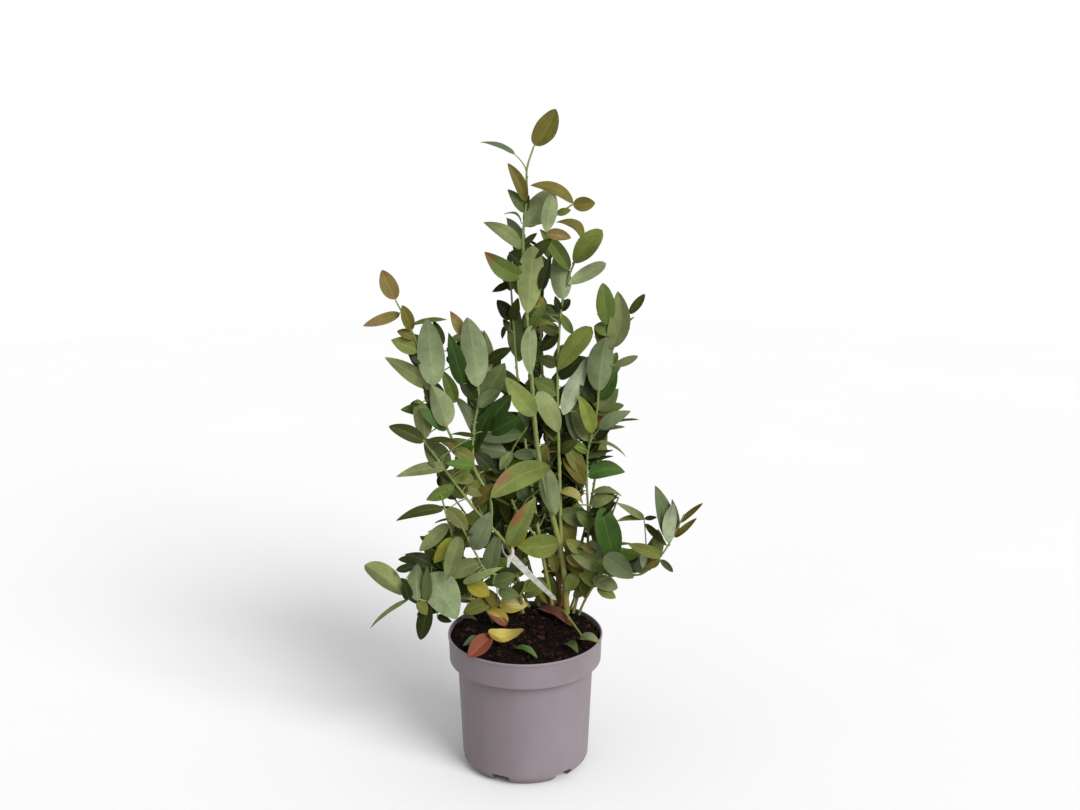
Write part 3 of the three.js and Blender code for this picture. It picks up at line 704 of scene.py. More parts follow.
class Limb:
    """A limb's curve, the frame's own: a centripetal Catmull-Rom spline, read by share of its length."""

    PARTS = 60

    def __init__(self, name, origin, base, end, leafy, onward):
        self.name = name
        self.base, self.end, self.leafy = base / 10000, end / 10000, leafy / 100
        self.forks = origin[0] in limbs
        if self.forks:
            points = [limbs[origin[0]].at(origin[1])]
        else:
            foot = np.array((origin[0] / 1000, origin[1] / 1000, GROUND))
            points = [foot - (0, 0, BURIED), foot]
        points += [np.array(point) / 1000 for point in onward]
        points = [2 * points[0] - points[1], *points, 2 * points[-1] - points[-2]]
        samples = [points[1]]
        for a, b, c, d in zip(points, points[1:], points[2:], points[3:]):
            before, here, after = [math.sqrt(np.linalg.norm(q - p)) for p, q in ((a, b), (b, c), (c, d))]
            start = ((b - a) / before - (c - a) / (before + here) + (c - b) / here) * here
            end = ((c - b) / here - (d - b) / (here + after) + (d - c) / after) * here
            for i in range(1, self.PARTS + 1):
                t = i / self.PARTS
                samples.append(b + start * t + (3 * (c - b) - 2 * start - end) * t**2
                               + (2 * (b - c) + start + end) * t**3)
        self.samples = np.array(samples)
        steps = np.linalg.norm(np.diff(self.samples, axis=0), axis=1)
        self.length = steps.sum()
        self.shares = np.concatenate([[0], np.cumsum(steps)]) / self.length

    def at(self, share):
        return np.array([np.interp(share, self.shares, values) for values in self.samples.T]).T

    def heading(self, share):
        step = 0.01
        return unit(self.at(min(1, share + step)) - self.at(max(0, share - step)))

    def radius(self, share):
        return self.base + (self.end - self.base) * share

    def share_seen_at(self, px):
        """The share of the length whose place shows nearest to a pixel."""
        return NEAREST_SHARES[np.argmin(gaps_to(px, self.at(NEAREST_SHARES)))]


def add_limb(limb, material, rough):
    """A limb's own mesh: its taper, a swelling with a bud at each leaf joint, and the bark's relief."""
    rng = random.Random(f"bark {limb.name}")
    sides = 12
    shares = np.linspace(0, 1, int(limb.length / LIMB_STEP))
    flare = 1
    if not limb.forks:
        start = (BURIED + 0.0004) / limb.length
        shares = np.array([start, *shares[shares > start]])
        flare = 1 + FLARE * np.exp(-(shares * limb.length) / FLARE_REACH)
    path = limb.at(shares)
    joint = JOINT_SPACING / limb.length
    phase = rng.random()
    swelling = 1 + SWELLING * np.exp(-((((shares / joint + phase) % 1) - 0.5) ** 2) / 0.012)
    points, faces = tube(path, limb.radius(shares) * swelling * flare, sides)
    centres = np.repeat(np.vstack([path[0], path, path[-1]]), sides, axis=0)
    for i, place in enumerate((points + (3, 0, 0)) * ROUGH_STRETCH):
        points[i] += (points[i] - centres[i]) * rough * noise.noise(Vector(place))
    batch = Batch()
    batch.add(points, faces)
    for k in range(1, int(limb.length / JOINT_SPACING)):
        share = (k - phase + 0.5) * joint
        if 0.12 < share < 0.97:
            heading = limb.heading(share)
            out = around(heading, k * GOLDEN_ANGLE)
            foot = limb.at(share) + out * limb.radius(share) * 0.9
            bud = [foot, foot + heading * 0.0015 + out * 0.0008, foot + heading * 0.0032 + out * 0.0009]
            batch.add(*tube(np.array(bud), (0.0008, 0.0009, 0.0003)))
    return batch.build(f"bark_{limb.name}", [material])


# ------------------------------------------------------------------------------------------- leaves

STATIONS = 13
ACROSS = np.array((-1, -0.68, -0.36, -0.07, 0.07, 0.36, 0.68, 1))
LEAF_THICKNESS = 0.00035
NEAR_PX = 7


def leaf_faces():
    """The faces of every leaf, and the side of each: 0 for the upper one, 1 for the lower one and the rim."""
    count = STATIONS * len(ACROSS)
    grid = np.arange(count).reshape(STATIONS, -1)
    top = grid_faces(*grid.shape, wrap=False)
    border = np.concatenate([grid[0, :-1], grid[:-1, -1], grid[-1, :0:-1], grid[:0:-1, 0]])
    onward = np.roll(border, -1)
    rim = np.stack([border, border + count, onward + count, onward], 1)
    sides = np.repeat((0, 1, 1), (len(top), len(top), len(rim)))
    return np.concatenate([top, top[:, ::-1] + count, rim]), sides


LEAF_FACES, FACE_SIDES = leaf_faces()


class Leaf:
    """One leaf: foot, tip, where its upper side faces, its width, fold, arch, bow and other bends."""

    def __init__(self, foot, tip, upward, width, rng, arch=None, fold=None, bow=0):
        self.foot, self.tip = foot, tip
        self.axis = unit(tip - foot)
        self.length = np.linalg.norm(tip - foot)
        self.upward = square_to(upward, self.axis)
        self.width = width
        self.arch = rng.uniform(0.02, 0.09) if arch is None else arch
        self.fold = rng.uniform(0.08, 0.32) if fold is None else fold
        self.side = np.cross(self.axis, self.upward)
        self.bow = bow + self.side * rng.uniform(-0.04, 0.04)
        self.cup = rng.uniform(-0.10, 0.16)
        self.twist = rng.uniform(-0.30, 0.30)
        self.wave = rng.uniform(0.02, 0.07)
        self.waves = rng.uniform(1.2, 2.4)
        self.phase = rng.uniform(0, 6.28)
        self.low = rng.uniform(0.50, 0.66)
        self.high = rng.uniform(0.68, 0.96)
        self.curl = rng.uniform(-0.02, 0.06)

    def paint(self, upper, under, patch=None):
        """Gives the leaf the tone of each side."""
        self.tones, self.patch = (upper, under), patch
        return self

    def midrib(self, t):
        """Points at shares of the midrib's length."""
        t = np.asarray(t)[..., None]
        hump = 4 * t * (1 - t)
        rise = self.arch * hump - self.curl * t**4
        return self.foot + (self.axis * t + self.upward * rise + self.bow * hump) * self.length

    def shape(self):
        """Points and leaf coordinates, for LEAF_FACES."""
        even = np.linspace(0, 1, STATIONS)
        t = 0.5 * even + 0.5 * (0.5 - 0.5 * np.cos(math.pi * even))
        peak = self.low / (self.low + self.high)
        full = peak**self.low * (1 - peak) ** self.high
        half = self.width / 2 * np.maximum(t**self.low * (1 - t) ** self.high / full, 0.012)[:, None]
        angle = self.twist * (t - 0.4)
        sideways = np.outer(np.cos(angle), self.side) + np.outer(np.sin(angle), self.upward)
        normal = np.outer(np.cos(angle), self.upward) - np.outer(np.sin(angle), self.side)
        off = np.abs(ACROSS)
        ripple = self.wave * np.sin(self.waves * 2 * math.pi * t[:, None] + self.phase * np.sign(ACROSS))
        rise = half * (off * math.sin(self.fold) + self.cup * off**2 + ripple * off**1.5)
        rise -= 0.0003 * (off < 0.1)  # the groove along the midrib
        spread = half * ACROSS * math.cos(self.fold)
        top = self.midrib(t)[:, None] + sideways[:, None] * spread[..., None]
        top += normal[:, None] * rise[..., None]
        bottom = top - normal[:, None] * LEAF_THICKNESS
        blade = np.stack([np.repeat(t, len(ACROSS)), np.tile(ACROSS, STATIONS)], 1)
        return np.concatenate([top, bottom]).reshape(-1, 3), np.concatenate([blade, blade])


leaves = {name: [] for name in LIMBS}
stalks = []


def keep_leaf(name, leaf, start, heading):
    """Keeps a leaf of a limb, and where its stalk starts and sets out to."""
    leaves[name].append(leaf)
    stalks.append((start, heading, leaf))


def shoot_path(limb, corners):
    """A side shoot through pixels of the photograph, level with the place where it leaves its limb."""
    start = limb.at(limb.share_seen_at(corners[0]))
    first, *middle, last = [shown_at(px, Y, start[Y]) for px in corners]
    bend = middle[0] if middle else (first + last) / 2
    return bent(start, 2 * bend - (start + last) / 2, last, np.linspace(0, 1, 12))


def shoot_paths(name):
    return [shoot_path(limbs[name], corners) for corners in SHOOTS.get(name, [])]


def seats(limb):
    """The places and directions along a limb and its side shoots where a leaf can stand."""
    places = [(limb.at(share), limb.heading(share)) for share in NEAREST_SHARES]
    for path in shoot_paths(limb.name):
        places += list(zip(path, np.gradient(path, axis=0)))
    return places


def seen_row(words):
    """A row of SEEN_LEAVES with its values by name."""
    form = {name: cell(value) for name, value in (word.split("=") for word in words[6:] if word != UNDER)}
    side = UNDER if UNDER in words else UP
    return dict(foot=words[:2], tip=words[2:4], width=words[4], tone=words[5], side=side, **form)


def seen_leaf(places, row, rng):
    """A leaf that stands out in the photograph, set on the nearest place of its limb, and that place."""
    gaps = gaps_to(row["foot"], np.array([point for point, _ in places]))
    nearest = int(np.argmin(gaps))
    joint = places[nearest][0]
    foot = shown_at(row["foot"], Y, joint[Y] - row.get("nearer", 0))
    if gaps[nearest] <= NEAR_PX:
        foot = foot + (joint - foot) * 0.5
    elif "nearer" not in row:
        nearest = max(0, nearest - 4)
    shows_upper = row["side"] == UP
    lean = row.get("lean", rng.uniform(-0.28 if shows_upper else -0.20, 0.12))
    flat_length = np.linalg.norm(shown_at(row["tip"], Y, foot[Y]) - foot)
    tip = shown_at(row["tip"], Y, foot[Y] + lean * flat_length)
    axis = unit(tip - foot)
    to_viewer = square_to(CAMERA_AT - foot, axis)
    skyward = np.cross(axis, to_viewer)
    bow = skyward * row.get("bow", 0)
    if skyward[Z] < 0:
        skyward = -skyward
    edge = math.radians(row.get("edge", rng.uniform(4, 20)))
    upward = (to_viewer if shows_upper else -to_viewer) * math.cos(edge) + skyward * math.sin(edge)
    width = row["width"] * ((foot - CAMERA_AT) @ SIGHT) / FOCAL_PX
    leaf = Leaf(foot, tip, upward, width, rng, row.get("arch"), row.get("fold"), bow)
    if "peak" in row:
        leaf.low, leaf.high = 1.3 * row["peak"], 1.3 * (1 - row["peak"])
    tones = (row["tone"], TONES[row["tone"]][1])
    return leaf.paint(*(tones if shows_upper else tones[::-1]), row.get("patch")), places[nearest]


def add_seen_leaves():
    for name, table in SEEN_LEAVES.items():
        rng = random.Random(f"seen {name}")
        places = seats(limbs[name])
        for words in rows_of(table):
            leaf, (point, heading) = seen_leaf(places, seen_row(words), rng)
            keep_leaf(name, leaf, point, unit(heading))


# ------------------------------------------------------------------------------------------- leaves by rule

SPACING = 0.010  # along a limb, between leaves
TWIG_SPACING = 0.045
LEAF_TRIES = 9
TWIG_TRIES = 6
TRIES_EACH = 4  # for each leaf of a thicket
LONGEST_TWIG = 0.065
LEAF_LENGTH = 0.062
# Tones that lean dark, for leaves deep in the bush and behind it: painted shade.
SHADY_TONES = ("deep", "dark", "umber", "olive", "moss", "shade", "green")
SUNNY_TONES = ("dark", "emerald", "green", "green", "mid", "moss", "slate", "umber", "pine", "shade")
RARE_TONES = ("lime", "russet", "gold", "olive", "bright")
RARELY = 0.035
UNDER_TONES = ("grey", "slate", "sage", "dark", "green")
TWIG_LEAVES = (4, 7)
FEWEST_TWIG_LEAVES = 3
RULE_ENDS = {"tall_cane": 0.82, "right_fork": 0.88, "left_tip_bough": 0.60}  # above, all leaves stand out


class Yard:
    """What a leaf that the rule deals out has to keep clear of, as it shows in the photograph."""

    ALONG = np.linspace(0, 1, 12)
    ASIDE = np.array((-1, -0.5, 0, 0.5, 1))
    MAY_COVER = 2  # points of its outline that may lie over leaves that stand out
    HALF_SHARE = 0.50  # of the width of a leaf that stands out, kept clear each side of its midrib
    NEAR_DEPTH = 0.006  # metres behind a leaf that stands out, which still count as over it

    def __init__(self, standing):
        self.feet, _ = to_pixels(np.array([leaf.foot for leaf in standing]))
        self.tips, _ = to_pixels(np.array([leaf.tip for leaf in standing]))
        _, self.depths = to_pixels(np.array([(leaf.foot + leaf.tip) / 2 for leaf in standing]))
        self.reach = np.array([leaf.width for leaf in standing]) * self.HALF_SHARE * FOCAL_PX / self.depths
        self.clear = np.array([*SKY, BARE_PEAT])

    def covered(self, points):
        """How many of the points lie over a leaf that stands out."""
        px, depth = to_pixels(points)
        run = self.tips - self.feet
        from_foot = px[:, None] - self.feet
        along = np.clip((from_foot * run).sum(-1) / (run**2).sum(-1), 0.06, 0.94)
        off = np.linalg.norm(from_foot - along[..., None] * run, axis=-1)
        return ((off < self.reach) & (depth[:, None] < self.depths + self.NEAR_DEPTH)).sum()

    def spoils(self, points):
        """Whether any of the points shows where the photograph has open sky or bare peat."""
        x, y = np.split(to_pixels(points)[0], 2, axis=1)
        left, top, right, bottom = self.clear.T
        return ((x > left) & (x < right) & (y > top) & (y < bottom)).any()

    def allows(self, leaf):
        swell = np.sin(math.pi * self.ALONG)[:, None, None]
        bulge = swell * self.ASIDE[:, None] * (leaf.side * leaf.width / 2)
        outline = (leaf.midrib(self.ALONG)[:, None] + bulge).reshape(-1, 3)
        return not self.spoils(outline) and self.covered(outline) <= self.MAY_COVER

    def allows_twig(self, path):
        return not self.spoils(path) and self.covered(path) == 0


def rule_leaf(start, heading, turn, spread, length, rng, tones):
    """A leaf that leaves a shoot at an angle, its upper side towards the shoot's tip."""
    out = around(heading, turn)
    way = unit(heading * math.cos(spread) + out * math.sin(spread) - np.array((0, 0, 0.10)))
    foot = start + out * 0.003 + way * 0.003
    upward = heading - way * (heading @ way) + np.array((0, 0, 0.25))
    tone = rng.choice(RARE_TONES) if rng.random() < RARELY else rng.choice(tones)
    under = TONES[tone][1] if tone in ("gold", "russet") else rng.choice(UNDER_TONES)
    leaf = Leaf(foot, foot + way * length, upward, length * rng.uniform(0.42, 0.52), rng)
    return leaf.paint(tone, under)


def add_rule_leaves(limb, yard):
    """Leaves in a spiral up a limb's leafy part, and side twigs with leaves, whose paths it gives."""
    rng = random.Random(f"rule {limb.name}")
    # Limbs at the back mix in the shady tones: painted shade behind the bush.
    behind = limb.at(1)[Y] > 0.1
    tones = SHADY_TONES + SUNNY_TONES if behind else SUNNY_TONES
    low = max(0.25, limb.leafy - 0.18)
    count = int(limb.length * (1 - low) / SPACING)
    turn = rng.uniform(0, 6.28)
    rule_ends = RULE_ENDS.get(limb.name, 1)
    for k in range(count):
        share = low + (1 - low) * (k + 0.5) / count
        growth = (share - low) / (1 - low)
        if share > rule_ends:
            break
        length = LEAF_LENGTH * (0.80 + 0.35 * math.sin(math.pi * growth)) * rng.uniform(0.85, 1.1)
        length *= 1 - 0.35 * growth**4
        turn += GOLDEN_ANGLE
        point, heading = limb.at(share), limb.heading(share)
        for attempt in range(LEAF_TRIES):
            spread = math.radians(rng.uniform(48, 70) - 28 * growth)
            size = length * (1 - 0.035 * attempt)
            leaf = rule_leaf(point, heading, turn + attempt * 0.70, spread, size, rng, tones)
            if yard.allows(leaf):
                keep_leaf(limb.name, leaf, point, heading)
                break
    paths = []
    for k in range(int(limb.length * (1 - low) / TWIG_SPACING)):
        share = low + (1 - low) * (k + rng.uniform(0.2, 0.6)) * TWIG_SPACING / (limb.length * (1 - low))
        if share < min(0.9, rule_ends):
            tries = [grow_twig(limb, share, rng, tones, yard) for _ in range(TWIG_TRIES)]
            path, sprig = max(tries, key=lambda grown: len(grown[1]))
            if len(sprig) >= FEWEST_TWIG_LEAVES:
                paths.append(path)
                for leaf, point, way in sprig:
                    keep_leaf(limb.name, leaf, point, way)
    return paths


def grow_twig(limb, share, rng, tones, yard):
    """A side twig that bends up from its limb, and those of its leaves that find room."""
    start, heading = limb.at(share), limb.heading(share)
    out = around(heading, rng.uniform(0, 6.28))
    length = rng.uniform(0.040, 0.075)
    way = unit(heading * 0.8 + out * 0.9 + np.array((0, 0, 0.35)))
    bend = start + unit(heading * 0.4 + out) * length * 0.45
    tip = start + way * length
    count = rng.randint(*TWIG_LEAVES)
    turn = rng.uniform(0, 6.28)
    sprig = []
    for k in range(count):
        t = 0.35 + 0.65 * k / (count - 1)
        spread = math.radians(rng.uniform(42, 60) - 30 * t)
        size = LEAF_LENGTH * rng.uniform(0.62, 0.85)
        turn += GOLDEN_ANGLE
        point = bent(start, bend, tip, t)
        leaf = rule_leaf(point, way, turn, spread, size, rng, tones)
        if yard.allows(leaf):
            sprig.append((leaf, point, way))
    path = bent(start, bend, tip, np.linspace(0, 1, 7))
    return path, sprig if yard.allows_twig(path) else []


def stalk_path(start, heading, leaf):
    """From a place on a limb to the foot of a leaf, starting out along a heading."""
    end = leaf.midrib(0.05)
    reach = np.linalg.norm(end - start)
    return bent(start, start + heading * reach * 0.35 + leaf.axis * reach * 0.1, end, np.linspace(0, 1, 5))


def add_thicket(number, yard):
    """Dark leaves of painted shade deep in the bush, where the photograph shows it closed, each on a twig
    from its limb.
    """
    name, left, top, right, bottom, count = THICKETS[number]
    rng = random.Random(f"thicket {number}")
    places = seats(limbs[name])
    for _ in range(int(count) * TRIES_EACH):
        if count == 0:
            break
        foot = (rng.uniform(left, right), rng.uniform(top, bottom))
        turn, reach = rng.uniform(0, 2 * math.pi), rng.uniform(30, 46)
        tip = (foot[0] + reach * math.cos(turn), foot[1] - reach * math.sin(turn))
        row = dict(foot=foot, tip=tip, width=reach * rng.uniform(0.36, 0.46),
                   tone=rng.choice(SHADY_TONES), side=rng.choice((UP, UP, UNDER)),
                   edge=rng.uniform(0, 40), nearer=rng.uniform(-0.045, -0.010))
        leaf, (point, heading) = seen_leaf(places, row, rng)
        backward = unit(unit(heading) + np.array((0, 1.5, 0)))
        twig = stalk_path(point, backward, leaf)
        if np.linalg.norm(leaf.foot - point) < LONGEST_TWIG and yard.allows(leaf) and yard.allows_twig(twig):
            # Both sides take shady tones: painted shade for a leaf deep in the bush.
            if row["side"] == UP:
                leaf.paint(leaf.tones[0], rng.choice(SHADY_TONES))
            else:
                leaf.paint("dark", "green")
            keep_leaf(name, leaf, point, backward)
            count -= 1


def add_leaves(name, grown):
    """One mesh for the leaves of a limb, with a material for each tone and side that it needs."""
    batch = Batch()
    used = []
    for leaf in grown:
        points, blade = leaf.shape()
        looks = [leaf_surface(tone, side, leaf.patch) for tone, side in zip(leaf.tones, (UP, UNDER))]
        used += [look for look in looks if look not in used]
        batch.add(points, LEAF_FACES, np.array([used.index(look) for look in looks])[FACE_SIDES], blade)
    return batch.build(f"leaves_{name}", used)


def add_stalks(material):
    """The short stalk of each leaf, or the twig to one that stands off its limb."""
    batch = Batch()
    for start, heading, leaf in stalks:
        path = stalk_path(start, heading, leaf)
        thick = 0.0007 if np.linalg.norm(path[-1] - start) < 0.012 else 0.0010
        batch.add(*tube(path, np.linspace(thick * 1.2, thick * 0.7, len(path))))
    return batch.build("leaf_stalks", [material])


def add_twigs(paths, material):
    batch = Batch()
    for path in paths:
        batch.add(*tube(path, np.linspace(0.0013, 0.0008, len(path))))
    return batch.build("side_twigs", [material])


# ------------------------------------------------------------------------------------------- pot and peat


def level_ring(radius, height, segments):
    angles = ring_angles(segments)
    return np.stack([radius * np.cos(angles), radius * np.sin(angles), np.full(segments, height)], 1)


def turned(name, profile, material, segments=144, sharp=50):
    """A closed surface of revolution from pairs of radius and height that start and end close to the axis."""
    batch = Batch()
    rings = [level_ring(radius, height, segments) for radius, height in profile]
    batch.add(np.concatenate(rings), grid_faces(len(rings), segments))
    return close_holes(batch.build(name, [material], sharp))


def arc(centre, radius, from_deg, to_deg, parts):
    angles = np.radians(np.linspace(from_deg, to_deg, parts))
    return [(centre[0] + radius * math.cos(a), centre[1] + radius * math.sin(a)) for a in angles]


def wall_radius(z):
    top = POT_HEIGHT - COLLAR_HEIGHT - SHOULDER_DROP
    return WALL_FOOT_RADIUS + (WALL_TOP_RADIUS - WALL_FOOT_RADIUS) * (z - FOOT_BEVEL) / (top - FOOT_BEVEL)


def add_pot(material):
    """The tub: rolled lip, deep collar, stepped shoulder, tapering wall and bevelled foot with drains."""
    collar_foot = POT_HEIGHT - COLLAR_HEIGHT
    shoulder = collar_foot - SHOULDER_DROP
    lip = 0.0014
    axis = 0.0002
    corner = 0.003
    profile = [
        (axis, 0.0), (FOOT_RADIUS - corner, 0.0),
        *arc((FOOT_RADIUS - corner, corner), corner, -90, -35, 4),
        (WALL_FOOT_RADIUS - 0.0016, FOOT_BEVEL - 0.002), (WALL_FOOT_RADIUS, FOOT_BEVEL + 0.001),
        *[(wall_radius(z), z) for z in np.linspace(FOOT_BEVEL + 0.006, shoulder - 0.004, 14)],
        (WALL_TOP_RADIUS + 0.0006, shoulder - 0.0012),
        (WALL_TOP_RADIUS + 0.0020, shoulder + 0.0002),
        (COLLAR_FOOT_RADIUS - 0.0018, collar_foot - 0.0016),
        *arc((COLLAR_FOOT_RADIUS - 0.0012, collar_foot + 0.0002), 0.0012, -60, 10, 4),
        *[(COLLAR_FOOT_RADIUS + (RIM_RADIUS - 0.0012 - COLLAR_FOOT_RADIUS) * t,
           collar_foot + 0.002 + 0.028 * t) for t in np.linspace(0, 1, 5)],
        (RIM_RADIUS - 0.0011, POT_HEIGHT - 0.0046),
        (RIM_RADIUS - 0.0002, POT_HEIGHT - 0.0038),
        *arc((RIM_RADIUS - lip, POT_HEIGHT - lip), lip, 0, 180, 9),
        (RIM_RADIUS - WALL - 0.0003, POT_HEIGHT - 0.006),
        (COLLAR_FOOT_RADIUS - WALL, collar_foot + WALL),
        (WALL_TOP_RADIUS - WALL, shoulder + WALL),
        (wall_radius(FLOOR) - WALL, FLOOR),
        (axis, FLOOR),
    ]
    pot = turned("pot_shell", profile, material, sharp=42)
    cut_drains(pot, material)
    return pot


def cut_drains(pot, material):
    """Cuts the notches round the foot, each with a rounded top."""
    half, below, corner = DRAIN_WIDTH / 2, -0.004, 0.004
    top = DRAIN_HEIGHT - corner
    outline = [(-half, below), (half, below), (half, top), *arc((half - corner, top), corner, 20, 90, 4),
               *arc((-half + corner, top), corner, 90, 160, 4), (-half, top)]
    cutter = Batch()
    for turn in DRAIN_FIRST + ring_angles(DRAINS):
        outward = np.array((math.sin(turn), -math.cos(turn), 0))
        sideways = np.array((math.cos(turn), math.sin(turn), 0))
        points = [outward * (WALL_FOOT_RADIUS + reach) + sideways * x + (0, 0, z)
                  for reach in (-DRAIN_REACH, DRAIN_REACH) for x, z in outline]
        cutter.add(np.array(points), grid_faces(2, len(outline)))
    knife = close_holes(cutter.build("drain_cutter", [material]))
    cut = pot.modifiers.new("drains", "BOOLEAN")
    cut.operation = "DIFFERENCE"
    cut.object = knife
    cut.solver = "EXACT"
    mesh = bpy.data.meshes.new_from_object(pot.evaluated_get(bpy.context.evaluated_depsgraph_get()))
    pot.modifiers.clear()
    pot.data = mesh
    mesh.shade_smooth()
    mesh.set_sharp_from_angle(angle=math.radians(40))
    bpy.data.objects.remove(knife)


def peat_height(x, y):
    """The lumpy surface of the peat, lower at its edge and higher round the foot of the bush."""
    edge = max(0.0, (math.hypot(x, y) - 0.070) / 0.036)
    lumps = sum(size * noise.noise(Vector((x * scale, y * scale, layer)))
                for size, scale, layer in ((0.0030, 55, 1.3), (0.0022, 150, 4.1), (0.0012, 420, 7.7)))
    crown = math.exp(-(((x - 0.045) ** 2 + (y - 0.062) ** 2) / 0.0022))
    return PEAT_TOP - 0.0075 * edge**2 + lumps + 0.0035 * crown


def add_peat(material):
    segments, rings = 150, 56
    radii = PEAT_RADIUS * np.arange(1, rings + 1) / rings
    top = np.concatenate([level_ring(radius, 0, segments) for radius in radii])
    top[:, Z] = [peat_height(x, y) for x, y, _ in top]
    under = [level_ring(radius, height, segments)
             for radius, height in ((0.0925, 0.150), (0.0870, PEAT_FOOT), (0.002, PEAT_FOOT))]
    batch = Batch()
    batch.add(np.concatenate([top, *under]), grid_faces(rings + len(under), segments))
    return close_holes(batch.build("peat_fill", [material], sharp=80))


CHIPS = 950
CHIP_REACH = 0.104  # from the middle of the pot
CHIP_SIZES = (0.0010, 0.0014, 0.0018, 0.0025, 0.0040)


def add_chips(materials):
    """Bits of bark and peat crumbs on the surface, each a small uneven block."""
    rng = random.Random("chips")
    batch = Batch()
    corners = np.array([(x, y, z) for z in (-1, 1) for x, y in ((-1, -1), (1, -1), (1, 1), (-1, 1))], float)
    box = np.array([(3, 2, 1, 0), (4, 5, 6, 7), (0, 1, 5, 4), (1, 2, 6, 5), (2, 3, 7, 6), (3, 0, 4, 7)])
    for _ in range(CHIPS):
        radius = CHIP_REACH * math.sqrt(rng.random())
        angle = rng.uniform(0, 2 * math.pi)
        x, y = radius * math.cos(angle), radius * math.sin(angle)
        long = rng.choice(CHIP_SIZES) * rng.uniform(0.7, 1.3)
        size = np.array((long, long * rng.uniform(0.35, 0.8), long * rng.uniform(0.2, 0.5)))
        shape = corners * size * np.array([[rng.uniform(0.6, 1.1) for _ in range(3)] for _ in range(8)])
        turn, tip = rng.uniform(0, 6.28), rng.uniform(-0.5, 0.5)
        turned_and_tipped = np.array(Matrix.Rotation(turn, 3, "Z") @ Matrix.Rotation(tip, 3, "Y"))
        shape = shape @ turned_and_tipped.T + (x, y, peat_height(x, y) + size[Z] * 0.5)
        batch.add(shape, box, rng.choice((0, 0, 1, 2)))
    return batch.build("bark_chips", materials, sharp=30)


# ------------------------------------------------------------------------------------------- label


def ribbon(start, tip, width, bow):
    """A thin strip that bows a little to the front and narrows to a rounded tip: points and faces."""
    along = unit(tip - start)
    face = square_to(np.array((0.0, -1, 0.25)), along)
    side = np.cross(face, along)
    back = face * LABEL_THICKNESS
    rows = []
    for t in np.linspace(0, 1, 16):
        narrowed = width / 2 * (1 - 0.5 * t)
        half = side * (narrowed if t < 0.92 else narrowed * (1 - 0.9 * ((t - 0.92) / 0.08) ** 2) + 0.0004)
        middle = start + (tip - start) * t + face * (bow * math.sin(math.pi * t) + 0.001)
        rows.append([middle - half, middle + half, middle + half - back, middle - half - back])
    caps = [(3, 2, 1, 0), (60, 61, 62, 63)]
    return np.concatenate(rows), np.concatenate([grid_faces(len(rows), 4), caps])


def add_label(material):
    """A blank label: a loop that hangs from its cane, a long strip down to the peat and a short tail."""
    cane, share = limbs["tagged_cane"], 0.425
    across = unit(np.cross((0.0, 1, 0), cane.heading(share)))
    hang = square_to(np.array((0.04, -0.55, -0.83)), across)
    beside = np.cross(across, hang)
    loop_radius, loop_drop, width, parts = 0.0070, 0.0125, 0.0106, 40
    centre = cane.at(share) + hang * (loop_drop - cane.radius(share) - 0.0012)
    rings = []
    for angle in ring_angles(parts):
        out = across * math.cos(angle) + hang * math.sin(angle)
        middle = centre + across * loop_radius * math.cos(angle) + hang * loop_drop * math.sin(angle)
        half = (beside + 0.7 * out) * width * 0.16
        back = out * LABEL_THICKNESS / 2
        rings.append([middle - half - back, middle + half - back, middle + half + back, middle - half + back])
    knot = centre + hang * loop_drop
    batch = Batch()
    batch.add(np.concatenate(rings), grid_faces(parts + 1, 4) % (parts * 4))
    batch.add(*ribbon(knot - hang * 0.004, np.array((0.044, 0.030, 0.230)), width, 0.004))
    batch.add(*ribbon(knot - hang * 0.002, knot + (-0.004, -0.002, -0.014), width * 0.6, 0.001))
    return close_holes(batch.build("label_strip", [material], sharp=40))


# ------------------------------------------------------------------------------------------- fallen leaves


def add_fallen():
    """Dead leaves on the peat, and the pale leaf at the end of the twig over the rim."""
    pieces = []
    rng = random.Random("fallen")
    for name, *numbers in FALLEN:
        foot_at, tip_at, width, fold, arch, right, front = numbers[4:11]
        foot, tip = shown_at(numbers[:2], Z, foot_at), shown_at(numbers[2:4], Z, tip_at)
        leaf = Leaf(foot, tip, np.array((right, -front, 1)), width, rng, arch, fold)
        leaf.wave, leaf.twist = 0.08, 0.3
        points, blade = leaf.shape()
        batch = Batch()
        batch.add(points, LEAF_FACES, 0, blade)
        look = fallen_material(f"fallen_{name}", numbers[11:14], numbers[14:17], *numbers[17:])
        pieces.append(batch.build(f"fallen_{name}", [look]))
    return pieces


# ------------------------------------------------------------------------------------------- light and floor

KEY_FROM = (1.5, -1.7, 1.6)
KEY_STRENGTH = 4.6
KEY_SPREAD = math.radians(34)


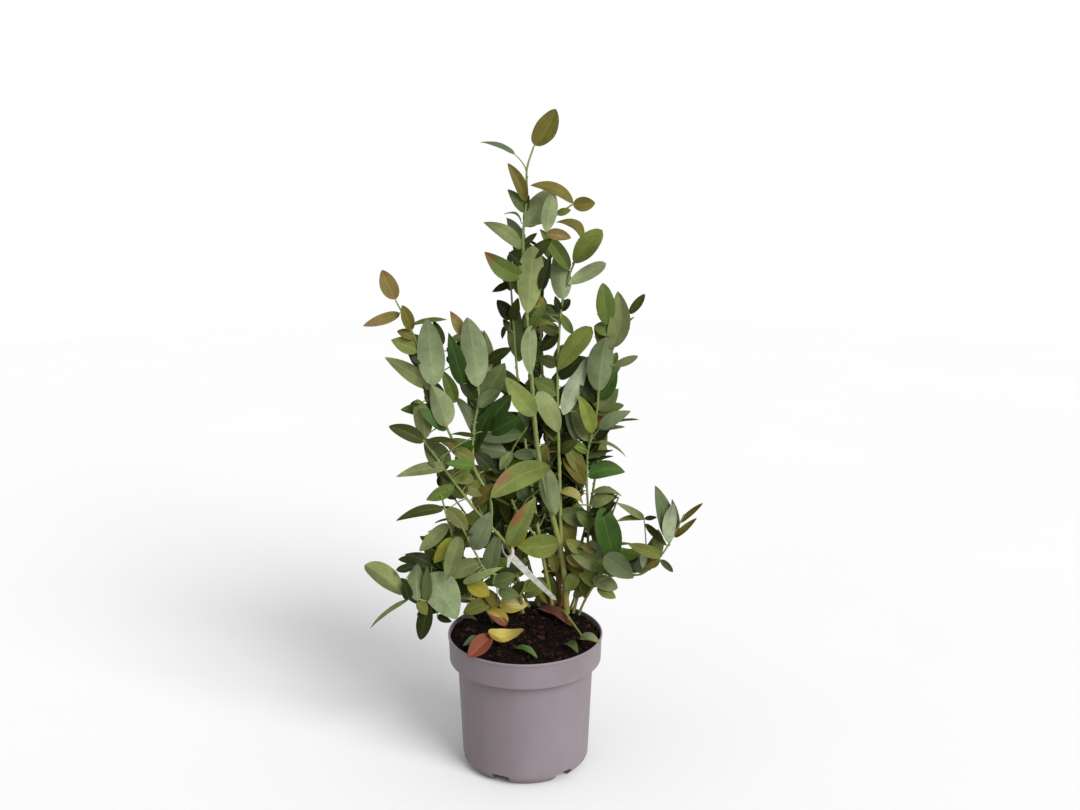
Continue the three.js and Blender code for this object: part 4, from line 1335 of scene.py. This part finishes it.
def add_studio():
    """An even white surround and one large soft light from the front right, over a pale floor."""
    world = bpy.data.worlds.new("studio")
    world.use_nodes = True
    background = world.node_tree.nodes["Background"].inputs
    background["Color"].default_value = (1, 1, 1, 1)
    background["Strength"].default_value = 1.0
    bpy.context.scene.world = world
    bpy.context.scene.view_settings.view_transform = "Standard"
    data = bpy.data.lights.new("key", "SUN")
    data.energy = KEY_STRENGTH
    data.angle = KEY_SPREAD
    key = add_object("key", data)
    key.location = KEY_FROM
    key.rotation_euler = (-Vector(KEY_FROM)).to_track_quat("-Z", "Y").to_euler()
    slab = [(0.001, -0.02), (3.5, -0.02), (3.5, -0.0005), (0.001, -0.0005)]
    turned("floor", slab, floor_material(), 64)


# ------------------------------------------------------------------------------------------- assembly


def hand_over(piece, node=None):
    """Fixes a piece to the root, and hides the frame's node that it stands in for."""
    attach(piece, "root")
    if node:
        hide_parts(node)


add_camera()
add_studio()

for limb_name, limb_row in LIMBS.items():
    limbs[limb_name] = Limb(limb_name, *limb_row)

green_bark = bark_material("bark_green", (158, 152, 74), (136, 150, 82), 0.35)
brown_bark = bark_material("bark_brown", (172, 112, 74), (146, 138, 84), 0.65)
twig_bark = bark_material("bark_twig", (142, 144, 82), (130, 144, 82), 0.2)

for limb_name, limb in limbs.items():
    if limb_name in BROWN_LIMBS:
        hand_over(add_limb(limb, brown_bark, 0.16), limb_name)
    else:
        hand_over(add_limb(limb, green_bark, 0.07), limb_name)

add_seen_leaves()
yard = Yard([leaf for grown in leaves.values() for leaf in grown])
for thicket_number in range(len(THICKETS)):
    add_thicket(thicket_number, yard)
twig_paths = []
for limb in limbs.values():
    if limb.leafy:
        twig_paths += add_rule_leaves(limb, yard)
for limb_name in SHOOTS:
    twig_paths += shoot_paths(limb_name)
for limb_name, grown_leaves in leaves.items():
    if grown_leaves:
        hand_over(add_leaves(limb_name, grown_leaves), f"{limb_name}_foliage")
hand_over(add_stalks(twig_bark))
hand_over(add_twigs(twig_paths, twig_bark))

hand_over(add_pot(pot_material()), "pot")
peat_dark = peat_material("peat", (12, 8, 6), (34, 22, 17))
hand_over(add_peat(peat_dark), "peat")
chip_barks = [peat_material("chip_brown", (34, 22, 17), (60, 41, 31)),
              peat_material("chip_red", (48, 28, 21), (84, 54, 41))]
hand_over(add_chips([peat_dark, *chip_barks]))
hand_over(add_label(label_material()), "plant_label")
for fallen_leaf in add_fallen():
    hand_over(fallen_leaf)
